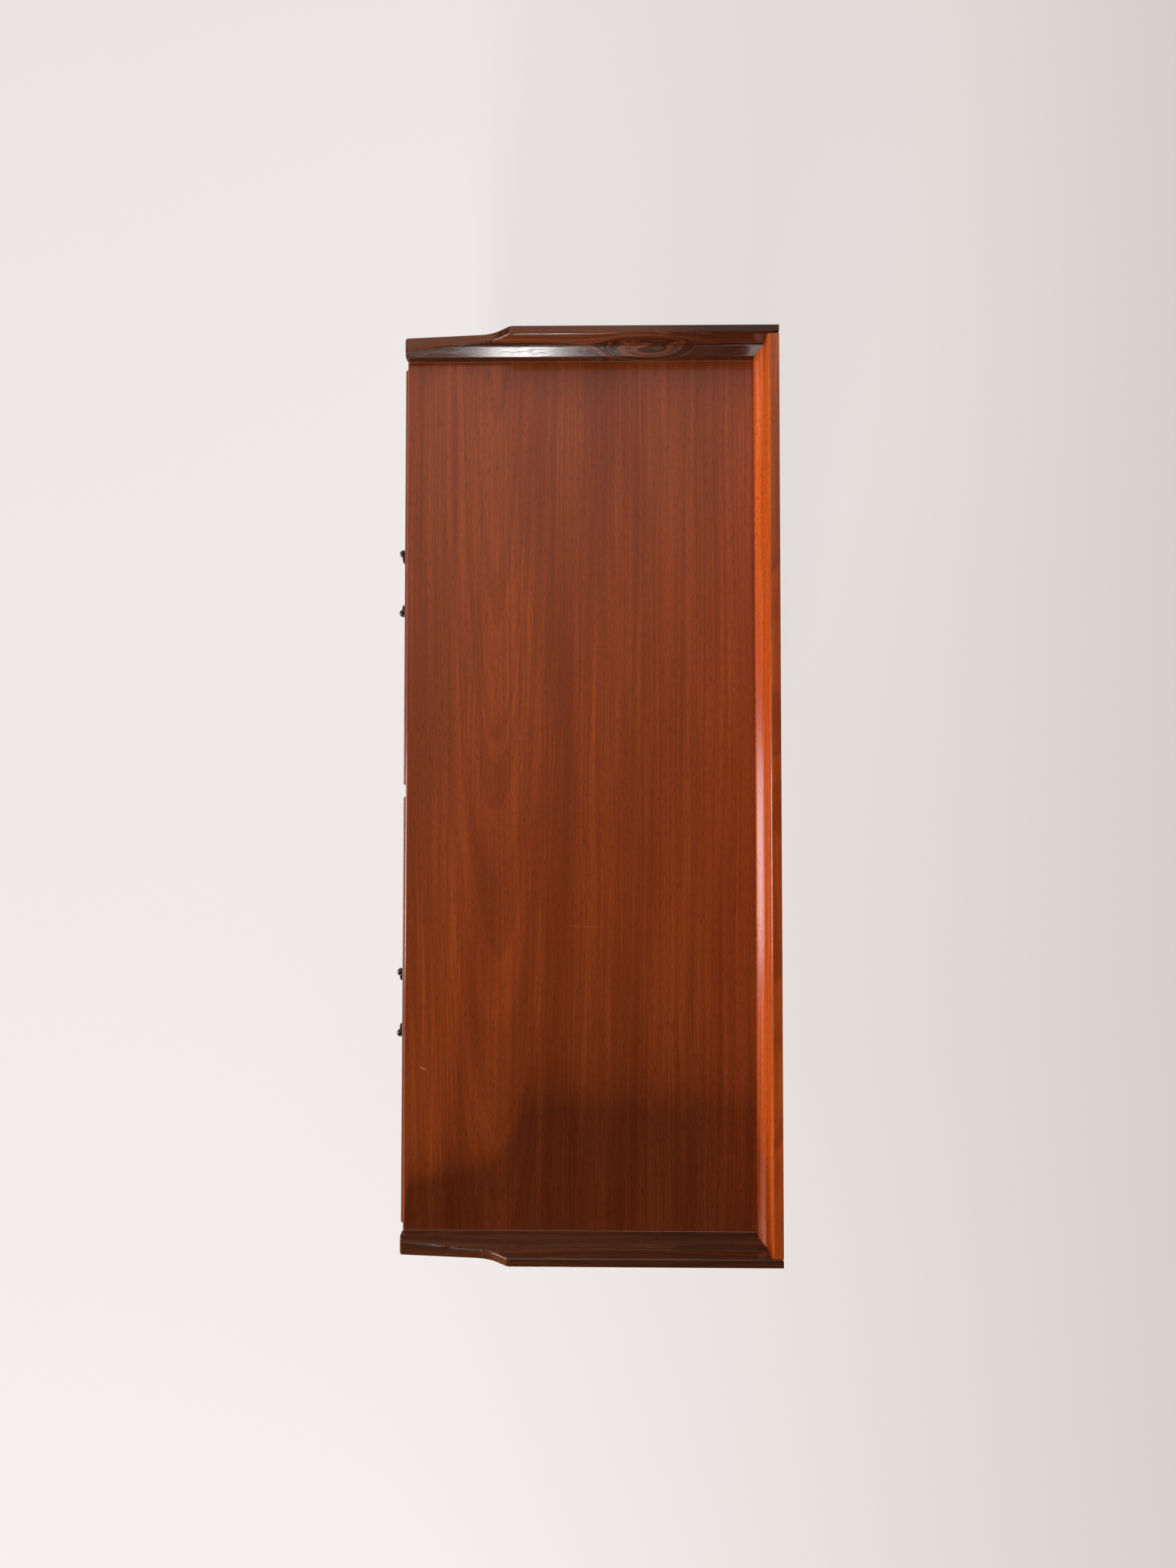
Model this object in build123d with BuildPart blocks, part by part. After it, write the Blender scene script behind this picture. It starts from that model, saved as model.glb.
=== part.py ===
"""Chest of six drawers with a coved gallery round its top.

Coved strips stand on the slab sides as a gallery, and a coped strip closes it along the back of the top.
Two columns of three graduated drawers run on wooden runners, and each has one bail pull on two ball posts.
Millimetres, +Z up, front towards -Y, origin on the floor under the middle of the overall box.
"""
import os
from math import atan, cos, degrees, pi, radians, sin

from build123d import *

os.makedirs("parts", exist_ok=True)

# Case
WIDTH = 1086.0
CASE_DEPTH = 443.5
BASE_HEIGHT = 112.0
SIDE_THICKNESS = 20.0
TOP_THICKNESS = 20.0
BOTTOM_THICKNESS = 18.0
DIVIDER_THICKNESS = 13.0
BACK_THICKNESS = 8.0
TOP_EDGE_RADIUS = 3.0

# Gallery: an upright lip on the top, a splay that leans out above it, and a thinner upright strip over the
# splay. A small hollow joins the splay and the strip to one cove
GALLERY_HEIGHT = 49.0
GALLERY_LIP = 11.5
GALLERY_COVE = 10.0
GALLERY_SPLAY_RISE = 12.0
COVE_RADIUS = 8.0
BACK_GALLERY_THICKNESS = 23.5
GALLERY_REBATE = 6.0
GALLERY_TONGUE = 6.0

# Ogee that drops the gallery to the front edge
OGEE_LENGTH = 152.0
OGEE_ROUND_LENGTH = 42.0
OGEE_ROUND_HEIGHT = 13.0
OGEE_FRONT_HEIGHT = 17.0
OGEE_FRONT_SLOPE = 0.08
OGEE_CORNER_RADIUS = 4.0

# Quirk that leaves a thin bead along the inner front arris of each side
BEAD_WIDTH = 2.6
QUIRK_WIDTH = 1.6
QUIRK_DEPTH = 2.4

# Feet cut in the lower edge of the sides, and the rails between them
FOOT_LENGTH = 84.0
FOOT_ARCH_HEIGHT = 62.0
FOOT_ARCH_RADIUS = 36.0
PLINTH_HEIGHT = 62.0
PLINTH_THICKNESS = 18.0
PLINTH_SETBACK = 26.0

# Joints of the case
PANEL_TONGUE = 8.0
PANEL_TONGUE_THICKNESS = 10.0
HOUSING_DEPTH = 4.0
HOUSING_STOP = 12.0
BACK_REBATE = 10.0
JOINT_GAP = 0.2

# Rails, runners and stops that carry the drawers
RAIL_THICKNESS = 14.0
RAIL_DEPTH = 60.0
RUNNER_WIDTH = 24.0
STOP_LENGTH = 40.0
STOP_DEPTH = 16.0
STOP_HEIGHT = 6.0
STOP_SPACING = 300.0

# Drawers
UPPER_DRAWER_HEIGHT = 120.0
MIDDLE_DRAWER_HEIGHT = 165.0
LOWER_DRAWER_HEIGHT = 210.0
DRAWER_REAR_SPACE = 14.5
DRAWER_GAP = 0.75
DRAWER_PROUD = 6.5
RUNNING_GAP = 0.3
FRONT_THICKNESS = 19.5
FRONT_EDGE_RADIUS = 2.5
DRAWER_SIDE_THICKNESS = 11.0
DRAWER_SIDE_DROP = 5.0
DRAWER_BACK_THICKNESS = 11.0
DRAWER_BACK_DROP = 8.0
DRAWER_BOTTOM_THICKNESS = 6.0
DRAWER_BOTTOM_RAISE = 9.0
BOTTOM_GROOVE = 5.0

# Dovetails: the front ones stop short of the face by the lap
DOVETAIL_LAP = 6.0
DOVETAIL_PITCH = 38.0
PIN_WIDTH = 6.0
DOVETAIL_SLOPE = 1 / 7

# Bail pulls: small and six times over, so their round work has few facets
POST_SPACING = 76.0
POST_RISE = 20.0
POST_SIDES = 12
BALL_DIAMETER = 10.0
BALL_LATITUDES = (15.0, 45.0, 75.0)
BAIL_STANDOFF = 9.0
NECK_DIAMETER = 6.5
FLANGE_DIAMETER = 10.0
FLANGE_THICKNESS = 1.6
SHANK_WIDTH = 3.6
SHANK_CLEARANCE = 0.15
NUT_WIDTH = 7.0
NUT_THICKNESS = 3.2
BAIL_DIAMETER = 3.0
BAIL_SIDES = 12
BAIL_BEND_STEPS = 2
BAIL_PIN_CLEARANCE = 0.05
BAIL_PIN_PAST_CENTRE = 2.0
BAIL_PIN_END_GAP = 0.5
BAIL_INSET = 9.7
BAIL_DROP = 26.0
BAIL_SHOULDER_RADIUS = 4.0
BAIL_GRIP_RADIUS = 9.0

# Places that follow from the sizes above
CLEAR_WIDTH = WIDTH - 2 * SIDE_THICKNESS
BAY_WIDTH = (CLEAR_WIDTH - DIVIDER_THICKNESS) / 2
PULL_REACH = BAIL_STANDOFF + BALL_DIAMETER / 2
CASE_FRONT = (DRAWER_PROUD + PULL_REACH - CASE_DEPTH) / 2
CASE_BACK = CASE_FRONT + CASE_DEPTH
PANEL_BACK = CASE_BACK - BACK_THICKNESS
FACE_Y = CASE_FRONT - DRAWER_PROUD
DRAWER_REAR = PANEL_BACK - DRAWER_REAR_SPACE

FLOOR_LEVEL = BASE_HEIGHT + BOTTOM_THICKNESS
LOWER_RAIL = FLOOR_LEVEL + LOWER_DRAWER_HEIGHT + 2 * DRAWER_GAP
MIDDLE_LEVEL = LOWER_RAIL + RAIL_THICKNESS
UPPER_RAIL = MIDDLE_LEVEL + MIDDLE_DRAWER_HEIGHT + 2 * DRAWER_GAP
UPPER_LEVEL = UPPER_RAIL + RAIL_THICKNESS
TOP_UNDERSIDE = UPPER_LEVEL + UPPER_DRAWER_HEIGHT + 2 * DRAWER_GAP
TOP_LEVEL = TOP_UNDERSIDE + TOP_THICKNESS
GALLERY_TOP = TOP_LEVEL + GALLERY_HEIGHT

# Each row: name, level that the drawer stands on, height of its front
ROWS = (
    ("upper", UPPER_LEVEL, UPPER_DRAWER_HEIGHT),
    ("middle", MIDDLE_LEVEL, MIDDLE_DRAWER_HEIGHT),
    ("lower", FLOOR_LEVEL, LOWER_DRAWER_HEIGHT),
)
RAIL_LEVELS = (UPPER_RAIL, LOWER_RAIL)
# Each column: name, left edge of its bay
COLUMNS = (
    ("left", -CLEAR_WIDTH / 2),
    ("right", DIVIDER_THICKNESS / 2),
)


def block(low, high, mode=Mode.ADD):
    """Box between two opposite corners, added to or cut from the part that is being built."""
    size = Vector(high) - Vector(low)
    with Locations(Vector(low) + size * 0.5):
        Box(size.X, size.Y, size.Z, mode=mode)


def cove_curve(inner, outward):
    """Draw the gallery's inner line above the lip: the splay, the hollow and the upright strip."""
    splay_foot = (inner, TOP_LEVEL + GALLERY_LIP)
    strip_foot = (inner + outward * GALLERY_COVE, splay_foot[1] + GALLERY_SPLAY_RISE)
    strip_top = (inner + outward * GALLERY_COVE, GALLERY_TOP)
    FilletPolyline(strip_top, strip_foot, splay_foot, radius=COVE_RADIUS)
    return splay_foot, strip_top


def export(piece, name):
    """Label one finished piece and write it to its own file."""
    piece.label = name
    export_step(piece, f"parts/{name}.step")


# Pattern for a side and its gallery strip: slab from the floor up, with two feet and an ogee on its upper edge
ogee_turn = (CASE_FRONT + OGEE_LENGTH - OGEE_ROUND_LENGTH, GALLERY_TOP - OGEE_ROUND_HEIGHT)
with BuildPart() as side_pattern:
    with BuildSketch(Plane.YZ.offset(-WIDTH / 2)):
        with BuildLine():
            front_end = (CASE_FRONT, TOP_LEVEL + OGEE_FRONT_HEIGHT)
            ogee_end = (CASE_FRONT + OGEE_LENGTH, GALLERY_TOP)
            Spline(front_end, ogee_turn, ogee_end, tangents=[(1, OGEE_FRONT_SLOPE), (1, 0)])
            Polyline(ogee_end, (CASE_BACK, GALLERY_TOP), (CASE_BACK, 0), (CASE_FRONT, 0), front_end)
        make_face()
        arch_length = CASE_DEPTH - 2 * FOOT_LENGTH
        with Locations(((CASE_FRONT + CASE_BACK) / 2, 0)):
            RectangleRounded(arch_length, 2 * FOOT_ARCH_HEIGHT, FOOT_ARCH_RADIUS, mode=Mode.SUBTRACT)
    extrude(amount=SIDE_THICKNESS)
    front_corner = side_pattern.edges().filter_by(Axis.X).group_by(Axis.Y)[0].sort_by(Axis.Z)[-1]
    fillet(front_corner, OGEE_CORNER_RADIUS)

    # Cove along the whole inner face above the lip
    with BuildSketch(Plane.XZ.offset(-CASE_BACK)):
        with BuildLine():
            cove_foot, cove_top = cove_curve(-CLEAR_WIDTH / 2, -1)
            Polyline(cove_top, (cove_foot[0], cove_top[1]), cove_foot)
        make_face()
    extrude(amount=CASE_DEPTH, mode=Mode.SUBTRACT)

    # Quirk down the front edge
    inner_x = -CLEAR_WIDTH / 2
    quirk_x = inner_x - BEAD_WIDTH
    with BuildSketch(Plane.XY):
        with BuildLine():
            Polyline(
                (quirk_x, CASE_FRONT),
                (quirk_x - QUIRK_WIDTH / 2, CASE_FRONT + QUIRK_DEPTH),
                (quirk_x - QUIRK_WIDTH, CASE_FRONT),
                close=True,
            )
        make_face()
    extrude(amount=GALLERY_TOP, mode=Mode.SUBTRACT)

# Left side: the slab up to the level of the top, grooved on its upper end for the gallery strip
gallery_joint = Plane.XY.offset(TOP_LEVEL)
side_middle = (SIDE_THICKNESS - WIDTH) / 2
with BuildPart() as left_side:
    add(side_pattern.part)
    split(bisect_by=gallery_joint, keep=Keep.BOTTOM)
    block(
        (side_middle - GALLERY_TONGUE / 2, CASE_FRONT + HOUSING_STOP, TOP_LEVEL - GALLERY_TONGUE),
        (side_middle + GALLERY_TONGUE / 2, CASE_BACK - HOUSING_STOP, TOP_LEVEL),
        Mode.SUBTRACT,
    )

    # Housings for the top, the bottom, the rails and runners, the plinth rails and the back panel
    for level in (TOP_UNDERSIDE, BASE_HEIGHT):
        block(
            (inner_x - PANEL_TONGUE, CASE_FRONT + HOUSING_STOP, level),
            (inner_x, CASE_BACK, level + PANEL_TONGUE_THICKNESS),
            Mode.SUBTRACT,
        )
    for level in RAIL_LEVELS:
        block(
            (inner_x - HOUSING_DEPTH, CASE_FRONT + HOUSING_STOP, level),
            (inner_x, PANEL_BACK, level + RAIL_THICKNESS),
            Mode.SUBTRACT,
        )
    for plinth_front in (CASE_FRONT + PLINTH_SETBACK, PANEL_BACK - PLINTH_THICKNESS):
        block(
            (inner_x - PANEL_TONGUE, plinth_front, BASE_HEIGHT - PLINTH_HEIGHT),
            (inner_x, plinth_front + PLINTH_THICKNESS, BASE_HEIGHT),
            Mode.SUBTRACT,
        )
    block(
        (inner_x - BACK_REBATE, PANEL_BACK, BASE_HEIGHT),
        (inner_x, CASE_BACK, TOP_UNDERSIDE),
        Mode.SUBTRACT,
    )
export(left_side.part, "left_side")

with BuildPart() as right_side:
    mirror(left_side.part, about=Plane.YZ)
export(right_side.part, "right_side")

# Left gallery: the strip above the slab, with its grain along it and a tongue underneath
with BuildPart() as left_gallery:
    add(side_pattern.part)
    split(bisect_by=gallery_joint, keep=Keep.TOP)
    block(
        (side_middle - GALLERY_TONGUE / 2, CASE_FRONT + HOUSING_STOP, TOP_LEVEL - GALLERY_TONGUE + JOINT_GAP),
        (side_middle + GALLERY_TONGUE / 2, CASE_BACK - HOUSING_STOP, TOP_LEVEL),
    )
export(left_gallery.part, "left_gallery")

with BuildPart() as right_gallery:
    mirror(left_gallery.part, about=Plane.YZ)
export(right_gallery.part, "right_gallery")

# Top: rounded front edge, tongues low in its ends, a rebate for the back gallery, a groove for the divider
tongue_x = CLEAR_WIDTH / 2 + PANEL_TONGUE - JOINT_GAP
panel_x = CLEAR_WIDTH / 2 - JOINT_GAP
gallery_y = CASE_BACK - BACK_GALLERY_THICKNESS
with BuildPart() as top_panel:
    block((-panel_x, CASE_FRONT, TOP_UNDERSIDE), (panel_x, CASE_BACK, TOP_LEVEL))
    fillet(top_panel.edges().filter_by(Axis.X).group_by(Axis.Y)[0], TOP_EDGE_RADIUS)
    block(
        (-tongue_x, CASE_FRONT + HOUSING_STOP, TOP_UNDERSIDE),
        (tongue_x, CASE_BACK, TOP_UNDERSIDE + PANEL_TONGUE_THICKNESS),
    )
    block(
        (-panel_x, gallery_y, TOP_LEVEL - GALLERY_REBATE),
        (panel_x, CASE_BACK, TOP_LEVEL),
        Mode.SUBTRACT,
    )
    block(
        (-DIVIDER_THICKNESS / 2, CASE_FRONT + HOUSING_STOP, TOP_UNDERSIDE),
        (DIVIDER_THICKNESS / 2, PANEL_BACK, TOP_UNDERSIDE + HOUSING_DEPTH),
        Mode.SUBTRACT,
    )
export(top_panel.part, "top_panel")

# Back gallery: coved strip let into the back of the top, its ends coped to the coves of the sides
with BuildPart() as back_gallery:
    with BuildSketch(Plane.YZ):
        with BuildLine():
            cove_foot, cove_top = cove_curve(gallery_y, 1)
            Polyline(
                cove_top,
                (CASE_BACK, GALLERY_TOP),
                (CASE_BACK, TOP_LEVEL - GALLERY_REBATE),
                (gallery_y, TOP_LEVEL - GALLERY_REBATE),
                cove_foot,
            )
        make_face()
    extrude(amount=WIDTH / 2, both=True)
    with BuildSketch(Plane.XZ.offset(-CASE_BACK)):
        with BuildLine():
            left_foot, left_top = cove_curve(-panel_x, -1)
            right_foot, right_top = cove_curve(panel_x, 1)
            Line(left_top, right_top)
            Polyline(right_foot, (panel_x, TOP_UNDERSIDE), (-panel_x, TOP_UNDERSIDE), left_foot)
        make_face()
    extrude(amount=BACK_GALLERY_THICKNESS, mode=Mode.INTERSECT)
export(back_gallery.part, "back_gallery")

# Bottom: tongued into the sides like the top, and grooved for the divider
with BuildPart() as bottom_panel:
    block((-panel_x, CASE_FRONT, BASE_HEIGHT), (panel_x, PANEL_BACK, FLOOR_LEVEL))
    block(
        (-tongue_x, CASE_FRONT + HOUSING_STOP, BASE_HEIGHT),
        (tongue_x, PANEL_BACK, BASE_HEIGHT + PANEL_TONGUE_THICKNESS),
    )
    block(
        (-DIVIDER_THICKNESS / 2, CASE_FRONT + HOUSING_STOP, FLOOR_LEVEL - HOUSING_DEPTH),
        (DIVIDER_THICKNESS / 2, PANEL_BACK, FLOOR_LEVEL),
        Mode.SUBTRACT,
    )
export(bottom_panel.part, "bottom_panel")

# Centre divider: housed in the top and the bottom, and grooved on both faces for rails and runners
half_divider = DIVIDER_THICKNESS / 2
with BuildPart() as centre_divider:
    block((-half_divider, CASE_FRONT, FLOOR_LEVEL), (half_divider, PANEL_BACK, TOP_UNDERSIDE))
    block(
        (-half_divider, CASE_FRONT + HOUSING_STOP, FLOOR_LEVEL - HOUSING_DEPTH),
        (half_divider, PANEL_BACK, TOP_UNDERSIDE + HOUSING_DEPTH),
    )
    for level in RAIL_LEVELS:
        for face in (-half_divider, half_divider - HOUSING_DEPTH):
            block(
                (face, CASE_FRONT + HOUSING_STOP, level),
                (face + HOUSING_DEPTH, PANEL_BACK, level + RAIL_THICKNESS),
                Mode.SUBTRACT,
            )
export(centre_divider.part, "centre_divider")

# Back panel: lies in the rebates of the sides, under the top
back_x = CLEAR_WIDTH / 2 + BACK_REBATE - JOINT_GAP
with BuildPart() as back_panel:
    block((-back_x, PANEL_BACK, BASE_HEIGHT), (back_x, CASE_BACK, TOP_UNDERSIDE))
export(back_panel.part, "back_panel")

# Plinth rails: one near the front and one against the back panel, tenoned into the sides
with BuildPart() as plinth_rails:
    for plinth_front in (CASE_FRONT + PLINTH_SETBACK, PANEL_BACK - PLINTH_THICKNESS):
        block(
            (-tongue_x, plinth_front, BASE_HEIGHT - PLINTH_HEIGHT),
            (tongue_x, plinth_front + PLINTH_THICKNESS, BASE_HEIGHT),
        )
export(plinth_rails.part, "plinth_rails")

# Drawer rails: flush with the front of the case, with a tongue at each end behind the front edge
with BuildPart() as drawer_rails:
    for level in RAIL_LEVELS:
        for _, bay_left in COLUMNS:
            block(
                (bay_left, CASE_FRONT, level),
                (bay_left + BAY_WIDTH, CASE_FRONT + RAIL_DEPTH, level + RAIL_THICKNESS),
            )
            block(
                (bay_left - HOUSING_DEPTH, CASE_FRONT + HOUSING_STOP, level),
                (bay_left + BAY_WIDTH + HOUSING_DEPTH, CASE_FRONT + RAIL_DEPTH, level + RAIL_THICKNESS),
            )
export(drawer_rails.part, "drawer_rails")

# Drawer runners: strips housed in the sides and the divider, from the rail to the back panel
with BuildPart() as drawer_runners:
    for level in RAIL_LEVELS:
        for _, bay_left in COLUMNS:
            for runner_left in (bay_left - HOUSING_DEPTH, bay_left + BAY_WIDTH - RUNNER_WIDTH):
                block(
                    (runner_left, CASE_FRONT + RAIL_DEPTH, level),
                    (runner_left + RUNNER_WIDTH + HOUSING_DEPTH, PANEL_BACK, level + RAIL_THICKNESS),
                )
export(drawer_runners.part, "drawer_runners")

# Drawer stops: blocks on the rails and the bottom that meet the back of each drawer front
stop_y = FACE_Y + FRONT_THICKNESS + RUNNING_GAP
with BuildPart() as drawer_stops:
    for _, level, _ in ROWS:
        for _, bay_left in COLUMNS:
            for offset in (-STOP_SPACING / 2, STOP_SPACING / 2):
                stop_left = bay_left + BAY_WIDTH / 2 + offset - STOP_LENGTH / 2
                block(
                    (stop_left, stop_y, level),
                    (stop_left + STOP_LENGTH, stop_y + STOP_DEPTH, level + STOP_HEIGHT),
                )
export(drawer_stops.part, "drawer_stops")


def dovetail_sockets(end_y, shoulder_y, low, high):
    """Sockets for the pins in one end of a drawer side: narrow at the end, wider at the shoulder."""
    count = max(1, round((high - low) / DOVETAIL_PITCH) - 1)
    spread = abs(shoulder_y - end_y) * DOVETAIL_SLOPE
    for index in range(count):
        middle = low + (high - low) * (index + 1) / (count + 1)
        Polygon(
            (end_y, middle - PIN_WIDTH / 2),
            (end_y, middle + PIN_WIDTH / 2),
            (shoulder_y, middle + PIN_WIDTH / 2 + spread),
            (shoulder_y, middle - PIN_WIDTH / 2 - spread),
            align=None,
            mode=Mode.SUBTRACT,
        )


# Pattern for the pull posts, standing on its flange: ball of flat rings on a neck, with a bore for the bail.
# The square shank below can't turn in the front, and its nut is one piece with it here
ball_radius = BALL_DIAMETER / 2
apothem_share = cos(pi / POST_SIDES)
bore_depth = ball_radius + BAIL_PIN_PAST_CENTRE + BAIL_PIN_END_GAP
with BuildPart() as post_pattern:
    ring_level = BAIL_STANDOFF
    ring_radius = ball_radius * cos(radians(BALL_LATITUDES[0]))
    for latitude in BALL_LATITUDES:
        next_level = BAIL_STANDOFF + ball_radius * sin(radians(latitude)) / sin(radians(BALL_LATITUDES[-1]))
        next_radius = ball_radius * cos(radians(latitude))
        ring_height = next_level - ring_level
        ring_taper = degrees(atan((ring_radius - next_radius) * apothem_share / ring_height))
        with BuildSketch(Plane.XY.offset(ring_level)):
            RegularPolygon(ring_radius, POST_SIDES)
        extrude(amount=ring_height, taper=ring_taper)
        ring_level = next_level
        ring_radius = next_radius
    mirror(about=Plane.XY.offset(BAIL_STANDOFF))
    with BuildSketch(Plane.XY):
        RegularPolygon(NECK_DIAMETER / 2, POST_SIDES)
    extrude(amount=BAIL_STANDOFF - ball_radius / 2)
    with BuildSketch(Plane.XY):
        RegularPolygon(FLANGE_DIAMETER / 2, POST_SIDES)
    extrude(amount=FLANGE_THICKNESS)
    with BuildSketch(Plane.XY):
        Rectangle(SHANK_WIDTH, SHANK_WIDTH)
    extrude(amount=-FRONT_THICKNESS)
    with BuildSketch(Plane.XY.offset(-FRONT_THICKNESS)):
        RegularPolygon(NUT_WIDTH / 2, 6, major_radius=False)
    extrude(amount=-NUT_THICKNESS)
    with Locations((bore_depth / 2 - ball_radius, 0, BAIL_STANDOFF)):
        Cylinder(BAIL_DIAMETER / 2 + BAIL_PIN_CLEARANCE, bore_depth, rotation=(0, 90, 0), mode=Mode.SUBTRACT)

# Pattern for the bails: wire bent down between the posts, its ends turned into their bores
pin_x = POST_SPACING / 2 + BAIL_PIN_PAST_CENTRE
leg_x = POST_SPACING / 2 - BAIL_INSET
with BuildLine(Plane.XZ) as bends:
    FilletPolyline(
        (-pin_x, 0),
        (-leg_x, 0),
        (-leg_x, -BAIL_DROP),
        (leg_x, -BAIL_DROP),
        (leg_x, 0),
        (pin_x, 0),
        radius=[BAIL_SHOULDER_RADIUS, BAIL_GRIP_RADIUS, BAIL_GRIP_RADIUS, BAIL_SHOULDER_RADIUS],
    )
bend_line = bends.wires()[0]
knuckles = [bend_line @ 0]
for length in bend_line.order_edges():
    steps = BAIL_BEND_STEPS if length.geom_type == GeomType.CIRCLE else 1
    knuckles += [length @ ((step + 1) / steps) for step in range(steps)]
with BuildPart() as bail_pattern:
    with BuildLine() as wire:
        Polyline(*knuckles)
    with BuildSketch(Plane(wire.line @ 0, z_dir=wire.line % 0)):
        RegularPolygon(BAIL_DIAMETER / 2, BAIL_SIDES)
    sweep(transition=Transition.RIGHT)

shank_hole = SHANK_WIDTH + 2 * SHANK_CLEARANCE
board_in_groove = BOTTOM_GROOVE - JOINT_GAP
for row, level, front_height in ROWS:
    front_low = level + DRAWER_GAP
    front_high = front_low + front_height
    side_low = level + RUNNING_GAP
    side_high = front_high - DRAWER_SIDE_DROP
    bottom_low = side_low + DRAWER_BOTTOM_RAISE
    bottom_high = bottom_low + DRAWER_BOTTOM_THICKNESS
    back_high = side_high - DRAWER_BACK_DROP
    front_back = FACE_Y + FRONT_THICKNESS
    post_level = (front_low + front_high) / 2 + POST_RISE

    for column, bay_left in COLUMNS:
        drawer_left = bay_left + DRAWER_GAP
        drawer_right = bay_left + BAY_WIDTH - DRAWER_GAP
        drawer_middle = bay_left + BAY_WIDTH / 2
        inside_left = drawer_left + DRAWER_SIDE_THICKNESS
        inside_right = drawer_right - DRAWER_SIDE_THICKNESS
        name = f"{row}_{column}"

        # Drawer sides: tails at both ends, and a groove for the bottom along the inner face
        with BuildPart() as drawer_left_side:
            with BuildSketch(Plane.YZ.offset(drawer_left)):
                with BuildLine():
                    Polyline(
                        (FACE_Y + DOVETAIL_LAP, side_low),
                        (DRAWER_REAR, side_low),
                        (DRAWER_REAR, side_high),
                        (FACE_Y + DOVETAIL_LAP, side_high),
                        close=True,
                    )
                make_face()
                dovetail_sockets(FACE_Y + DOVETAIL_LAP, front_back, side_low, side_high)
                dovetail_sockets(DRAWER_REAR, DRAWER_REAR - DRAWER_BACK_THICKNESS, bottom_high, back_high)
            extrude(amount=DRAWER_SIDE_THICKNESS)
            block(
                (inside_left - BOTTOM_GROOVE, FACE_Y + DOVETAIL_LAP, bottom_low),
                (inside_left, DRAWER_REAR, bottom_high),
                Mode.SUBTRACT,
            )
        export(drawer_left_side.part, f"{name}_drawer_left_side")

        with BuildPart() as drawer_right_side:
            mirror(drawer_left_side.part, about=Plane.YZ.offset(drawer_middle))
        export(drawer_right_side.part, f"{name}_drawer_right_side")

        # Drawer front: eased face, blind sockets for the tails, groove for the bottom, holes for the posts
        with BuildPart() as drawer_front:
            block((drawer_left, FACE_Y, front_low), (drawer_right, front_back, front_high))
            fillet(drawer_front.faces().sort_by(Axis.Y)[0].edges(), FRONT_EDGE_RADIUS)
            add(drawer_left_side.part, mode=Mode.SUBTRACT)
            add(drawer_right_side.part, mode=Mode.SUBTRACT)
            block(
                (inside_left - BOTTOM_GROOVE, front_back - BOTTOM_GROOVE, bottom_low),
                (inside_right + BOTTOM_GROOVE, front_back, bottom_high),
                Mode.SUBTRACT,
            )
            with BuildSketch(Plane.XZ.offset(-front_back)):
                with Locations((drawer_middle, post_level)):
                    with GridLocations(POST_SPACING, 0, 2, 1):
                        Rectangle(shank_hole, shank_hole)
            extrude(amount=FRONT_THICKNESS, mode=Mode.SUBTRACT)
        export(drawer_front.part, f"{name}_drawer_front")

        # Drawer back: stands on the bottom, with pins between the rear tails
        with BuildPart() as drawer_back:
            block(
                (drawer_left, DRAWER_REAR - DRAWER_BACK_THICKNESS, bottom_high),
                (drawer_right, DRAWER_REAR, back_high),
            )
            add(drawer_left_side.part, mode=Mode.SUBTRACT)
            add(drawer_right_side.part, mode=Mode.SUBTRACT)
        export(drawer_back.part, f"{name}_drawer_back")

        # Drawer bottom: thin board that slides into the grooves under the back
        with BuildPart() as drawer_bottom:
            block(
                (inside_left - board_in_groove, front_back - board_in_groove, bottom_low),
                (inside_right + board_in_groove, DRAWER_REAR, bottom_high),
            )
        export(drawer_bottom.part, f"{name}_drawer_bottom")

        # Pull posts and bail: copies of the patterns on the face of the front
        with BuildPart() as pull_posts:
            with Locations(Location((drawer_middle + POST_SPACING / 2, FACE_Y, post_level), (90, 0, 0))):
                add(post_pattern.part)
            mirror(about=Plane.YZ.offset(drawer_middle))
        export(pull_posts.part, f"{name}_pull_posts")

        with BuildPart() as bail:
            with Locations((drawer_middle, FACE_Y - BAIL_STANDOFF, post_level)):
                add(bail_pattern.part)
        export(bail.part, f"{name}_bail")
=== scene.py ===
"""Chest of six drawers with a coved gallery: the finished boards, the pulls, and a plain studio round them.

Metres, +Z up, front towards -Y, origin on the floor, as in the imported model.
"""

from math import cos, pi, radians, sin, tan

import bmesh
import bpy
from mathutils import Euler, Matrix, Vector


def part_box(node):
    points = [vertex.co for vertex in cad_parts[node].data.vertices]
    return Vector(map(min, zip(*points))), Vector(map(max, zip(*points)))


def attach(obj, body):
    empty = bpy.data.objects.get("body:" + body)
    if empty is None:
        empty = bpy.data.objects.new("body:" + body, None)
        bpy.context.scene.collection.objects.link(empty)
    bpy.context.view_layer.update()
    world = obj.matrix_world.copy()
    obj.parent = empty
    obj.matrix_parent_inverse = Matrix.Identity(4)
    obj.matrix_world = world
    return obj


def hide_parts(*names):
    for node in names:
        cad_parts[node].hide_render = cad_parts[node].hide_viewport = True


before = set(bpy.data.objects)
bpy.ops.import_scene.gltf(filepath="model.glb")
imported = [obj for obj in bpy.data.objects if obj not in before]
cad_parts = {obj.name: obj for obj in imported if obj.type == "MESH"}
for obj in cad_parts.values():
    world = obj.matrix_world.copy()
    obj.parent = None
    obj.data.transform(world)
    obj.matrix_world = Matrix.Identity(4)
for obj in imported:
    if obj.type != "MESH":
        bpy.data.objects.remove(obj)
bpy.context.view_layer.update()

# Sides: two slabs of dark figured rosewood with the grain upright, cut out below to leave two feet.
# They are planed, their arrises are eased with a block, and they are oiled and waxed to a soft shine.


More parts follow.
